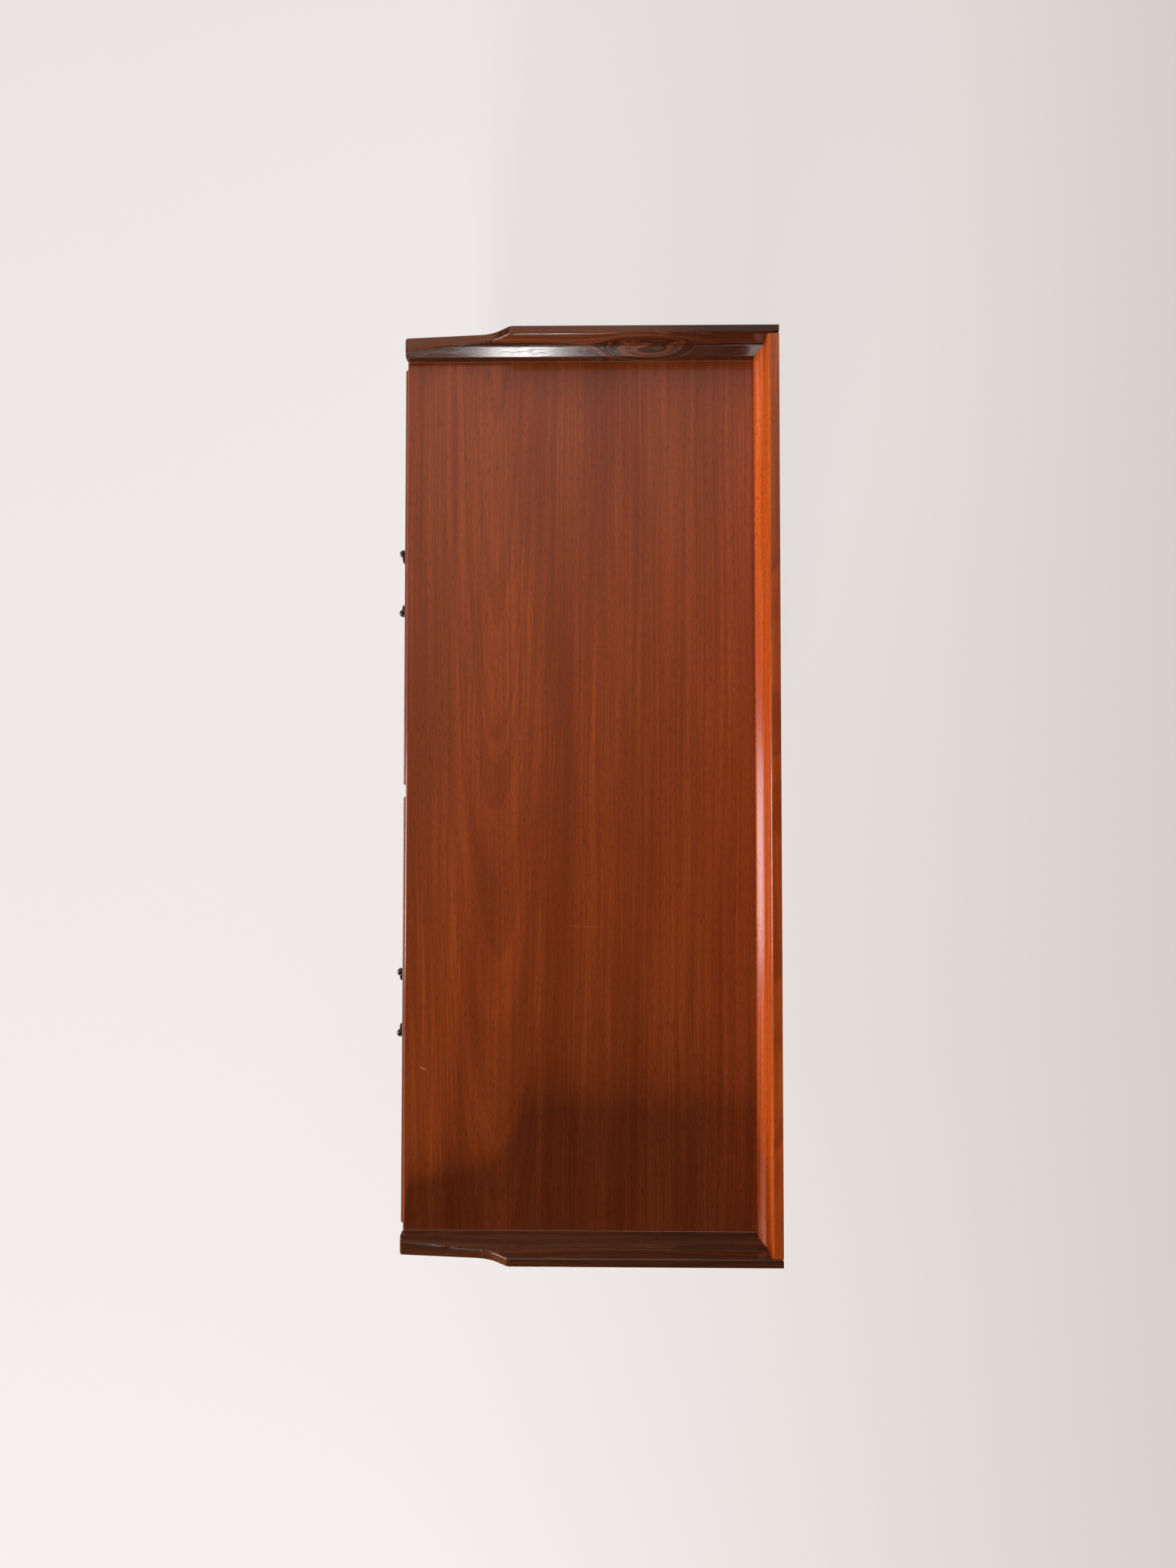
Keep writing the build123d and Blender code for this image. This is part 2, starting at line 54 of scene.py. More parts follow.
def tone(red, green, blue):
    """Linear colour of a wood or metal tone given in screen values from 0 to 255."""
    return tuple((value / 255) ** 2.2 for value in (red, green, blue)) + (1.0,)


def place(tree, kind, inputs=None, **settings):
    """Add a node: settings are its properties, and inputs are plain values or sockets to link from."""
    node = tree.nodes.new(kind)
    for name, value in settings.items():
        setattr(node, name, value)
    for name, value in (inputs or {}).items():
        if isinstance(value, bpy.types.NodeSocket):
            tree.links.new(value, node.inputs[name])
        else:
            node.inputs[name].default_value = value
    return node


def work(tree, operation, *values):
    """Output of a Math node."""
    return place(tree, "ShaderNodeMath", dict(enumerate(values)), operation=operation).outputs[0]


def move(tree, operation, first, second):
    """Output of a Vector Math node on two vectors."""
    return place(tree, "ShaderNodeVectorMath", {0: first, 1: second}, operation=operation).outputs[0]


def ramp(tree, value, low, high):
    """Smooth step of a value from 0 at low to 1 at high."""
    inputs = {"Value": value, "From Min": low, "From Max": high}
    return place(tree, "ShaderNodeMapRange", inputs, interpolation_type="SMOOTHSTEP").outputs[0]


def blend_colours(tree, share, first, second, blend_type="MIX"):
    """Colour that goes from first to second as share goes from 0 to 1."""
    inputs = {"Factor": share, 6: first, 7: second}
    mix = place(tree, "ShaderNodeMix", inputs, data_type="RGBA", blend_type=blend_type)
    return mix.outputs[2]


def make_sawn_grain():
    """Shader group for the grain of a sawn board along X: rings, streaks, blotches and pores.

    A board without a knot leaves the pull of the knot at 0.
    """
    group = bpy.data.node_groups.new("Sawn grain", "ShaderNodeTree")
    for name, kind in (
        ("Vector", "NodeSocketVector"),
        ("Pith Across", "NodeSocketFloat"),
        ("Pith Depth", "NodeSocketFloat"),
        ("Pith Tilt", "NodeSocketFloat"),
        ("Ring Width", "NodeSocketFloat"),
        ("Waviness", "NodeSocketFloat"),
        ("Streak Width", "NodeSocketFloat"),
        ("Pore Length", "NodeSocketFloat"),
        ("Knot Place", "NodeSocketVector"),
        ("Knot Spread", "NodeSocketVector"),
        ("Knot Pull", "NodeSocketFloat"),
    ):
        group.interface.new_socket(name, in_out="INPUT", socket_type=kind)
    for name in ("Rings", "Streaks", "Blotches", "Pores"):
        group.interface.new_socket(name, in_out="OUTPUT", socket_type="NodeSocketFloat")
    given = group.nodes.new("NodeGroupInput").outputs
    result = group.nodes.new("NodeGroupOutput").inputs

    # The fibres wander a little from a straight line
    bends = place(group, "ShaderNodeTexNoise", {
        "Vector": move(group, "MULTIPLY", given["Vector"], (2.6, 13.0, 13.0)), "Scale": 1.0, "Detail": 2.0})
    wander = move(group, "SUBTRACT", bends.outputs["Color"], (0.5, 0.5, 0.5))
    sway = place(group, "ShaderNodeVectorMath", {0: wander, "Scale": given["Waviness"]}, operation="SCALE")
    swayed = move(group, "ADD", given["Vector"], sway.outputs[0])

    # Round a knot they swirl: its pull fades with the distance, counted in spreads
    aside = move(group, "SUBTRACT", swayed, given["Knot Place"])
    in_spreads = move(group, "DIVIDE", aside, given["Knot Spread"])
    distance = place(group, "ShaderNodeVectorMath", {0: in_spreads}, operation="LENGTH").outputs["Value"]
    square = work(group, "MULTIPLY", distance, distance)
    fade = work(group, "EXPONENT", work(group, "MULTIPLY", square, -1.0))
    pull = work(group, "MULTIPLY", fade, given["Knot Pull"])
    swirl = place(group, "ShaderNodeVectorMath", {0: aside, "Scale": pull}, operation="SCALE")
    fibre = move(group, "SUBTRACT", swayed, swirl.outputs[0])
    along, across, depth = place(group, "ShaderNodeSeparateXYZ", {0: fibre}).outputs

    # Growth rings round a pith that rises or falls along the board, each pale at first and dark at its end
    beside = work(group, "SUBTRACT", across, given["Pith Across"])
    rise = work(group, "MULTIPLY", along, given["Pith Tilt"])
    below = work(group, "ADD", work(group, "ADD", depth, given["Pith Depth"]), rise)
    offset = place(group, "ShaderNodeCombineXYZ", {0: beside, 1: below}).outputs[0]
    radius = place(group, "ShaderNodeVectorMath", {0: offset}, operation="LENGTH").outputs["Value"]
    count = work(group, "DIVIDE", radius, given["Ring Width"])
    seasons = place(group, "ShaderNodeTexNoise", {"W": work(group, "MULTIPLY", count, 0.4), "Detail": 1.0},
                    noise_dimensions="1D")
    uneven = work(group, "ADD", count, work(group, "MULTIPLY", seasons.outputs[0], 1.6))
    year = work(group, "FRACT", uneven)
    over = ramp(group, year, 0.9, 1.0)
    late = work(group, "MULTIPLY", ramp(group, year, 0.15, 0.85), work(group, "SUBTRACT", 1.0, over))
    group.links.new(late, result["Rings"])

    # Streaks of darker fibre, long blotches of colour and the short dashes of the open pores
    fine = work(group, "DIVIDE", 1.0, given["Streak Width"])
    streak_scale = place(group, "ShaderNodeCombineXYZ", {0: 1.6, 1: fine, 2: fine}).outputs[0]
    streaks = place(group, "ShaderNodeTexNoise", {
        "Vector": move(group, "MULTIPLY", fibre, streak_scale),
        "Scale": 1.0, "Detail": 5.0, "Roughness": 0.62})
    group.links.new(ramp(group, streaks.outputs[0], 0.3, 0.7), result["Streaks"])
    blotches = place(group, "ShaderNodeTexNoise", {
        "Vector": move(group, "MULTIPLY", fibre, (1.7, 17.0, 17.0)), "Scale": 1.0, "Detail": 2.0})
    group.links.new(ramp(group, blotches.outputs[0], 0.32, 0.68), result["Blotches"])
    dash = work(group, "DIVIDE", 1.0, given["Pore Length"])
    pore_scale = place(group, "ShaderNodeCombineXYZ", {0: dash, 1: 1500.0, 2: 1500.0}).outputs[0]
    pores = place(group, "ShaderNodeTexNoise", {
        "Vector": move(group, "MULTIPLY", fibre, pore_scale), "Scale": 1.0, "Detail": 0.0})
    group.links.new(ramp(group, pores.outputs[0], 0.58, 0.72), result["Pores"])
    return group


SAWN_GRAIN = make_sawn_grain()
ALONG_X = (0.0, 0.0, 0.0)
ALONG_Y = (0.0, 0.0, pi / 2)
ALONG_Z = (0.0, -pi / 2, 0.0)
STREAK_SHARE = 0.55
STREAK_DULLNESS = 0.04
PORE_DARKNESS = 0.35
PORE_DULLNESS = 0.12
PORE_DEPTH = 0.0002
WELD_DISTANCE = 1e-6
FLAT_DEGREES = 1
SHARP_DEGREES = 32


def sawn_wood(name, turn, centre, pale, middle, dark, grain, ring_share, pore_share, shine):
    """Material of a board: its grain turned and centred on the board, three tones, and a polish.

    The polish is told by its roughness, shine, which also sets how deep the pores stand open.
    """
    material = bpy.data.materials.new(name)
    material.use_nodes = True
    tree = material.node_tree
    surface = tree.nodes["Principled BSDF"]
    coordinates = place(tree, "ShaderNodeTexCoord")
    turned = place(tree, "ShaderNodeMapping", {
        "Vector": coordinates.outputs["Object"], "Location": centre, "Rotation": turn},
        vector_type="TEXTURE")
    figure = place(tree, "ShaderNodeGroup", node_tree=SAWN_GRAIN)
    tree.links.new(turned.outputs[0], figure.inputs["Vector"])
    for socket, value in grain.items():
        figure.inputs[socket].default_value = value

    ground = blend_colours(tree, figure.outputs["Blotches"], pale, middle)
    streak_cover = work(tree, "MULTIPLY", figure.outputs["Streaks"], STREAK_SHARE)
    streaked = blend_colours(tree, streak_cover, ground, dark)
    ring_cover = work(tree, "MULTIPLY", figure.outputs["Rings"], ring_share)
    ringed = blend_colours(tree, ring_cover, streaked, dark)
    pore_cover = work(tree, "MULTIPLY", figure.outputs["Pores"], pore_share)
    pore_tone = tuple(value * PORE_DARKNESS for value in dark[:3]) + (1.0,)
    tree.links.new(blend_colours(tree, pore_cover, ringed, pore_tone), surface.inputs["Base Color"])
    dull_streaks = work(tree, "MULTIPLY", figure.outputs["Streaks"], STREAK_DULLNESS)
    dull_pores = work(tree, "MULTIPLY", figure.outputs["Pores"], PORE_DULLNESS)
    roughness = work(tree, "ADD", work(tree, "ADD", shine, dull_streaks), dull_pores)
    tree.links.new(roughness, surface.inputs["Roughness"])
    relief = place(tree, "ShaderNodeBump", {
        "Strength": shine / 2, "Distance": PORE_DEPTH,
        "Height": work(tree, "SUBTRACT", 1.0, figure.outputs["Pores"])})
    tree.links.new(relief.outputs[0], surface.inputs["Normal"])
    return material


def finished_board(node, body, material, easing, arris_width=None, carved=None):
    """Board in its finish: a solid's or a carved mesh, its triangles joined to flat faces, its arrises eased.

    Where arris_width is given, it tells the width of the easing from the two ends of an arris.
    """
    shape = bmesh.new()
    shape.from_mesh(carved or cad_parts[node].data)
    bmesh.ops.remove_doubles(shape, verts=shape.verts, dist=WELD_DISTANCE)
    flat = radians(FLAT_DEGREES)
    bmesh.ops.dissolve_limit(shape, angle_limit=flat, verts=shape.verts, edges=shape.edges)
    for face in shape.faces:
        face.smooth = True
    mesh = bpy.data.meshes.new(f"{node}_board")
    shape.to_mesh(mesh)
    shape.free()
    if "custom_normal" in mesh.attributes:
        mesh.attributes.remove(mesh.attributes["custom_normal"])
    mesh.set_sharp_from_angle(angle=radians(SHARP_DEGREES))
    mesh.materials.clear()
    mesh.materials.append(material)
    board = bpy.data.objects.new(f"{node}_board", mesh)
    bpy.context.scene.collection.objects.link(board)
    bevel = board.modifiers.new("Eased arrises", "BEVEL")
    bevel.width = easing
    bevel.segments = 3
    bevel.harden_normals = True
    bevel.limit_method = "WEIGHT"
    bevel.use_clamp_overlap = arris_width is None
    weights = mesh.attributes.new("bevel_weight_edge", "FLOAT", "EDGE")
    for edge in mesh.edges:
        ends = [mesh.vertices[index].co for index in edge.vertices]
        width = arris_width(*ends) if arris_width else easing
        weights.data[edge.index].value = width / easing if edge.use_edge_sharp else 0.0
    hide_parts(node)
    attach(board, body)


ROSEWOOD_PALE = tone(96, 55, 36)
ROSEWOOD_MIDDLE = tone(72, 39, 26)
ROSEWOOD_DARK = tone(34, 17, 12)
ROSEWOOD_GRAIN = {"Pith Across": 0.03, "Pith Depth": 0.05, "Pith Tilt": 0.02, "Ring Width": 0.006,
                  "Waviness": 0.02, "Streak Width": 0.004, "Pore Length": 0.012}


def rosewood(node, turn):
    """Dark rosewood with flowing black lines, centred on a board."""
    low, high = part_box(node)
    return sawn_wood(node, turn, (low + high) / 2, ROSEWOOD_PALE, ROSEWOOD_MIDDLE, ROSEWOOD_DARK,
                     ROSEWOOD_GRAIN, ring_share=0.7, pore_share=0.5, shine=0.1)


SIDE_EASING = 0.0008
for node in ("left_side", "right_side"):
    finished_board(node, "case", rosewood(node, ALONG_Z), SIDE_EASING)

# Gallery strips on the sides: rosewood with the grain along the strip, tongued into the sides.
# Each is hollowed to a cove above a low lip and cut to an ogee in front. The left one has a swirl of figure
# round a knot and painted shade that darkens it towards the back, the right one is a paler, plainer length.
LIP_HEIGHT = 0.0115
SPLAY_WIDTH = 0.010
SPLAY_RISE = 0.012
HOLLOW_RADIUS = 0.012
OGEE_FRONT_HEIGHT = 0.0185
OGEE_RUN = (0.106, 0.0285)
OGEE_RUN_RADIUS = 0.045
OGEE_RISE_LENGTH = 0.1295
OGEE_TURN_RADIUS = 0.01
FRONT_CORNER_RADIUS = 0.004
NOSE_RADIUS = 0.0035
BEAD_WIDTH = 0.0026
QUIRK_WIDTH = 0.0016
QUIRK_DEPTH = 0.0024
STRIP_TONGUE = 0.006
STRIP_TONGUE_STOP = 0.012
TONGUE_OVERLAP = 0.002
TOOL_OVERSHOOT = 0.01
strip_low, strip_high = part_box("right_gallery")
top_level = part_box("top_panel")[1].z
strip_height = strip_high.z - top_level


def round_corner(before, corner, after, radius, steps):
    """Points of the arc that rounds a corner of a flat line."""
    corner = Vector(corner)
    back = (Vector(before) - corner).normalized()
    ahead = (Vector(after) - corner).normalized()
    half = back.angle(ahead) / 2
    centre = corner + (back + ahead).normalized() * radius / sin(half)
    start = corner + back * radius / tan(half) - centre
    end = corner + ahead * radius / tan(half) - centre
    return [centre + start.lerp(end, step / steps).normalized() * radius for step in range(steps + 1)]


def prism(name, outline, low, high, lay):
    """Object of a closed prism: lay(point, end) puts each point of its outline in space at the two ends."""
    shape = bmesh.new()
    ends = [[shape.verts.new(lay(point, end)) for point in outline] for end in (low, high)]
    for ring in ends:
        shape.faces.new(ring)
    for index in range(len(outline)):
        ahead = (index + 1) % len(outline)
        shape.faces.new((ends[0][index], ends[0][ahead], ends[1][ahead], ends[1][index]))
    bmesh.ops.recalc_face_normals(shape, faces=shape.faces)
    mesh = bpy.data.meshes.new(name)
    shape.to_mesh(mesh)
    shape.free()
    block = bpy.data.objects.new(name, mesh)
    bpy.context.scene.collection.objects.link(block)
    return block


def carved_strip(side):
    """Mesh of a strip on the left (side -1) or the right (side 1): a coved length, cut and tongued."""
    inner, outer = strip_low.x, strip_high.x
    front, back = strip_low.y, strip_high.y

    def across(point, y):
        return side * point[0], y, top_level + point[1]

    def lengthwise(point, x):
        return side * x, front + point[0], top_level + point[1]

    def in_plan(point, z):
        return side * point[0], front + point[1], z

    splay_foot = (inner, LIP_HEIGHT)
    hollow = (inner + SPLAY_WIDTH, LIP_HEIGHT + SPLAY_RISE)
    strip_top = (inner + SPLAY_WIDTH, strip_height)
    cove = round_corner(splay_foot, hollow, strip_top, HOLLOW_RADIUS, 10)
    section = [(inner, 0), splay_foot, *cove, strip_top, (outer, strip_height), (outer, 0)]
    strip = prism("strip", section, front, back, across)

    # The saw takes away what is above the ogee
    nose = (0.0, OGEE_FRONT_HEIGHT)
    rise_end = (OGEE_RISE_LENGTH, strip_height)
    ogee = round_corner((0.0, 0.0), nose, OGEE_RUN, FRONT_CORNER_RADIUS, 6)
    ogee += round_corner(nose, OGEE_RUN, rise_end, OGEE_RUN_RADIUS, 12)
    ogee += round_corner(OGEE_RUN, rise_end, (back - front, strip_height), OGEE_TURN_RADIUS, 8)
    waste = ogee + [(ogee[-1][0], 2 * strip_height), (-TOOL_OVERSHOOT, 2 * strip_height)]
    waste.append((-TOOL_OVERSHOOT, ogee[0][1]))
    saw = prism("saw", waste, inner - TOOL_OVERSHOOT, outer + TOOL_OVERSHOOT, lengthwise)

    # The chisel cuts the quirk beside the bead, and the plane rounds the nose
    bottom = top_level - TOOL_OVERSHOOT
    quirk = inner + BEAD_WIDTH
    notch = [(quirk, 0), (quirk + QUIRK_WIDTH / 2, QUIRK_DEPTH), (quirk + QUIRK_WIDTH, 0)]
    chisel = prism("chisel", notch + [(quirk, -TOOL_OVERSHOOT)], bottom, strip_high.z, in_plan)
    shaving = round_corner((outer, 1.0), (outer, 0.0), (0.0, 0.0), NOSE_RADIUS, 6)
    shaving.append((outer - NOSE_RADIUS, -TOOL_OVERSHOOT))
    shaving.append((outer + TOOL_OVERSHOOT, -TOOL_OVERSHOOT))
    shaving.append((outer + TOOL_OVERSHOOT, NOSE_RADIUS))
    plane = prism("plane", shaving, bottom, strip_high.z, in_plan)

    # The tongue stops short of both ends
    tongue_left = (inner + outer - STRIP_TONGUE) / 2
    tongue_right = tongue_left + STRIP_TONGUE
    tongue_low = strip_low.z - top_level
    tongue = [(tongue_left, tongue_low), (tongue_right, tongue_low)]
    tongue += [(tongue_right, TONGUE_OVERLAP), (tongue_left, TONGUE_OVERLAP)]
    key = prism("key", tongue, front + STRIP_TONGUE_STOP, back - STRIP_TONGUE_STOP, across)

    for tool in (saw, chisel, plane, key):
        cut = strip.modifiers.new(tool.name, "BOOLEAN")
        cut.object = tool
        cut.operation = "UNION" if tool == key else "DIFFERENCE"
        cut.solver = "EXACT"
    shown = strip.evaluated_get(bpy.context.evaluated_depsgraph_get())
    mesh = bpy.data.meshes.new_from_object(shown)
    for block in (strip, saw, chisel, plane, key):
        bpy.data.objects.remove(block)
    return mesh


LEFT_PALE = tone(98, 54, 34)
LEFT_MIDDLE = tone(56, 30, 21)
LEFT_DARK = tone(25, 12, 9)
LEFT_BACK_SHADE = tone(40, 19, 12)
LEFT_UPPER_SHEEN = tone(104, 56, 34)
LEFT_GRAIN = dict(ROSEWOOD_GRAIN, **{"Pith Across": 0.065, "Pith Depth": 0.035, "Ring Width": 0.0036,
                                     "Knot Place": (0.07, 0.002, 0.0), "Knot Spread": (0.05, 0.02, 0.02),
                                     "Knot Pull": 3.0})
PALER_PALE = tone(128, 73, 42)
PALER_MIDDLE = tone(106, 58, 33)
PALER_DARK = tone(54, 27, 15)
PALER_GRAIN = dict(ROSEWOOD_GRAIN, **{"Pith Across": -0.11, "Pith Depth": 0.03, "Ring Width": 0.005})
strip_middle = (strip_low + strip_high) / 2
left_middle = Vector((-strip_middle.x, strip_middle.y, strip_middle.z))
left_figure = sawn_wood("left_gallery", ALONG_Y, left_middle, LEFT_PALE, LEFT_MIDDLE, LEFT_DARK,
                        LEFT_GRAIN, ring_share=0.85, pore_share=0.4, shine=0.1)
right_figure = sawn_wood("right_gallery", ALONG_Y, strip_middle, PALER_PALE, PALER_MIDDLE, PALER_DARK,
                         PALER_GRAIN, ring_share=0.5, pore_share=0.4, shine=0.1)


def darken_along_strip(tree, start, end, dark, share):
    """Blend a wood's colour towards a darker tone from start to end along the strip."""
    base = tree.nodes["Principled BSDF"].inputs["Base Color"]
    coordinates = place(tree, "ShaderNodeTexCoord").outputs["Object"]
    along = place(tree, "ShaderNodeSeparateXYZ", {0: coordinates}).outputs[1]
    cover = work(tree, "MULTIPLY", ramp(tree, along, start, end), share)
    tree.links.new(blend_colours(tree, cover, base.links[0].from_socket, dark), base)


def paint_light_and_shade_on_upper_faces(tree, painted_tone, share):
    """Blend a wood's colour towards a painted tone where the face looks up: a paler tone paints sheen there,
    a darker one paints shade.
    """
    base = tree.nodes["Principled BSDF"].inputs["Base Color"]
    normal = place(tree, "ShaderNodeNewGeometry").outputs["Normal"]
    upward = place(tree, "ShaderNodeSeparateXYZ", {0: normal}).outputs[2]
    cover = work(tree, "MULTIPLY", ramp(tree, upward, 0.72, 0.95), share)
    tree.links.new(blend_colours(tree, cover, base.links[0].from_socket, painted_tone), base)


# Painted sheen: the left strip's upper faces are paled. Painted shade: the right strip's upper faces are
# darkened.
paint_light_and_shade_on_upper_faces(left_figure.node_tree, LEFT_UPPER_SHEEN, 0.65)
# Painted shade: the left strip is darkened towards the back, as the light falls off there.
darken_along_strip(left_figure.node_tree, 0.05, 0.16, LEFT_BACK_SHADE, 0.75)
paint_light_and_shade_on_upper_faces(right_figure.node_tree, PALER_DARK, 0.6)
darken_along_strip(right_figure.node_tree, -0.1, 0.15, PALER_DARK, 0.35)

NOSE_LENGTH = 0.006
COVE_ARRIS = 0.0028
PLAIN_ARRIS = 0.0006
LEVEL_TOLERANCE = 0.0001
PAST_CORNER = 0.001


def side_strip_arris(first, second):
    """Width of the easing of a side strip's arris: broad along the cove, none at the joint and the nose."""
    at_joint = max(first.z, second.z) < top_level + LEVEL_TOLERANCE
    at_nose = max(first.y, second.y) < strip_low.y + NOSE_LENGTH
    if at_joint or at_nose:
        return 0.0
    on_cove = min(first.z, second.z) > top_level + LIP_HEIGHT + PAST_CORNER
    if on_cove and max(abs(first.x), abs(second.x)) < strip_middle.x + PAST_CORNER:
        return COVE_ARRIS
    return PLAIN_ARRIS


for node, side, figure in (("left_gallery", -1, left_figure), ("right_gallery", 1, right_figure)):
    finished_board(node, "case", figure, COVE_ARRIS, side_strip_arris, carved_strip(side))

# Plinth rails: two rosewood rails under the bottom, set back from the front and the back.
# They are tenoned into the sides.
plinth_wood = rosewood("plinth_rails", ALONG_X)
finished_board("plinth_rails", "case", plinth_wood, SIDE_EASING)

# Bottom, centre divider and drawer rails: mahogany boards tongued and housed into each other and the sides.
# Only their front edges show round the drawers.
MAHOGANY_PALE = tone(152, 70, 31)
MAHOGANY_MIDDLE = tone(130, 57, 25)
MAHOGANY_DARK = tone(102, 45, 20)
MAHOGANY_GRAIN = {"Pith Across": 0.0, "Pith Depth": 0.06, "Pith Tilt": 0.05, "Ring Width": 0.012,
                  "Waviness": 0.012, "Streak Width": 0.003, "Pore Length": 0.008}


def mahogany(node, turn):
    """Red-brown mahogany, centred on a board."""
    low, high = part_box(node)
    return sawn_wood(node, turn, (low + high) / 2, MAHOGANY_PALE, MAHOGANY_MIDDLE, MAHOGANY_DARK,
                     MAHOGANY_GRAIN, ring_share=0.3, pore_share=0.4, shine=0.3)


INNER_EASING = 0.0005
for node, turn in (("bottom_panel", ALONG_X), ("centre_divider", ALONG_Z), ("drawer_rails", ALONG_X)):
    finished_board(node, "case", mahogany(node, turn), INNER_EASING)

# Runners and stops: plain oak, left unpolished. The runners are housed in the sides and the divider,
# and the stops are glued on the rails behind the drawer fronts.
OAK_PALE = tone(205, 172, 126)
OAK_MIDDLE = tone(190, 154, 108)
OAK_DARK = tone(150, 112, 72)
OAK_GRAIN = {"Pith Across": 0.02, "Pith Depth": 0.2, "Pith Tilt": 0.08, "Ring Width": 0.005,
             "Waviness": 0.006, "Streak Width": 0.0015, "Pore Length": 0.006}


def oak(node, turn):
    """Plain sawn oak, centred on a board."""
    low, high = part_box(node)
    return sawn_wood(node, turn, (low + high) / 2, OAK_PALE, OAK_MIDDLE, OAK_DARK, OAK_GRAIN,
                     ring_share=0.45, pore_share=0.5, shine=0.55)


for node, turn in (("drawer_runners", ALONG_Y), ("drawer_stops", ALONG_X)):
    finished_board(node, "case", oak(node, turn), INNER_EASING)

# Top: one wide mahogany board with the grain along the chest, its front edge rounded and polished.
# It is tongued into the sides below the gallery. A pale line along the side strips is a painted highlight,
# and the board carries a few marks of use: a bruise, a scratch, a fleck and a fine drying check.
TOP_GRAIN = dict(MAHOGANY_GRAIN, **{"Pith Across": -0.1, "Pith Depth": 0.05, "Pith Tilt": 0.06})
HIGHLIGHT_LINE_WIDTH = 0.0012
HIGHLIGHT_LINE_TONE = tone(205, 150, 118)
BRUISE_TONE = tone(186, 120, 84)
FLECK_TONE = tone(58, 24, 14)
# Each mark: place along and across the top, turn in degrees, half length, half width, tone, strength
TOP_MARKS = (
    (0.332, -0.188, 62, 0.006, 0.0013, BRUISE_TONE, 0.7),
    (0.163, 0.004, 88, 0.034, 0.0006, BRUISE_TONE, 0.25),
    (-0.414, -0.037, 8, 0.008, 0.0011, FLECK_TONE, 0.6),
    (-0.455, 0.074, 0, 0.055, 0.0008, FLECK_TONE, 0.55),
)
top_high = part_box("top_panel")[1]
top_material = sawn_wood("top_panel", ALONG_X, (0.0, 0.0, top_high.z), MAHOGANY_PALE, MAHOGANY_MIDDLE,
                         MAHOGANY_DARK, TOP_GRAIN, ring_share=0.3, pore_share=0.4, shine=0.12)


def add_top_marks(tree, gallery_x):
    """Lay the marks and the two painted highlight lines along the side strips over the base colour of the
    top's material.
    """
    base = tree.nodes["Principled BSDF"].inputs["Base Color"]
    colour = base.links[0].from_socket
    coordinates = place(tree, "ShaderNodeTexCoord").outputs["Object"]
    for along, across, turn, half_length, half_width, mark_tone, strength in TOP_MARKS:
        on_mark = place(tree, "ShaderNodeMapping", {
            "Vector": coordinates, "Location": (along, across, top_high.z),
            "Rotation": (0, 0, radians(turn)), "Scale": (half_length, half_width, 1.0)},
            vector_type="TEXTURE")
        reach = place(tree, "ShaderNodeVectorMath", {0: on_mark.outputs[0]}, operation="LENGTH")
        outside = ramp(tree, reach.outputs["Value"], 0.3, 1.0)
        cover = work(tree, "MULTIPLY", work(tree, "SUBTRACT", 1.0, outside), strength)
        colour = blend_colours(tree, cover, colour, mark_tone)
    # Painted highlight: a pale line on the top beside each side strip's lip.
    outward = work(tree, "ABSOLUTE", place(tree, "ShaderNodeSeparateXYZ", {0: coordinates}).outputs[0])
    line = ramp(tree, outward, gallery_x - HIGHLIGHT_LINE_WIDTH, gallery_x - HIGHLIGHT_LINE_WIDTH / 2)
    covered = ramp(tree, outward, gallery_x, gallery_x + HIGHLIGHT_LINE_WIDTH)
    line = work(tree, "MULTIPLY", line, work(tree, "SUBTRACT", 1.0, covered))
    tree.links.new(blend_colours(tree, line, colour, HIGHLIGHT_LINE_TONE), base)


add_top_marks(top_material.node_tree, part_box("right_gallery")[0].x)
POLISHED_EASING = 0.0004
finished_board("top_panel", "case", top_material, POLISHED_EASING)

# Back gallery: a strip of ribbon mahogany with the same cove, let into a rebate along the back of the top.
# Its ends are coped to the strips on the sides.
# These tones are paler than the other mahogany: partly the ribbon's own colour and partly painted light
# standing in for the front lamp on the strip.
RIBBON_PALE = tone(230, 108, 42)
RIBBON_MIDDLE = tone(208, 84, 26)
RIBBON_DARK = tone(134, 45, 13)
RIBBON_UPPER_SHADE = tone(98, 40, 16)
RIBBON_GRAIN = {"Pith Across": 0.0, "Pith Depth": 0.3, "Pith Tilt": 0.02, "Ring Width": 0.004,
                "Waviness": 0.012, "Streak Width": 0.005, "Pore Length": 0.004}
gallery_low, gallery_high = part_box("back_gallery")
gallery_middle = (gallery_low + gallery_high) / 2
ribbon_mahogany = sawn_wood("back_gallery", ALONG_X, gallery_middle, RIBBON_PALE, RIBBON_MIDDLE, RIBBON_DARK,
                            RIBBON_GRAIN, ring_share=0.5, pore_share=0.6, shine=0.18)
# Painted shade: the back strip's upper faces are darkened, as they take less of the front light than its
# cove.
paint_light_and_shade_on_upper_faces(ribbon_mahogany.node_tree, RIBBON_UPPER_SHADE, 0.6)


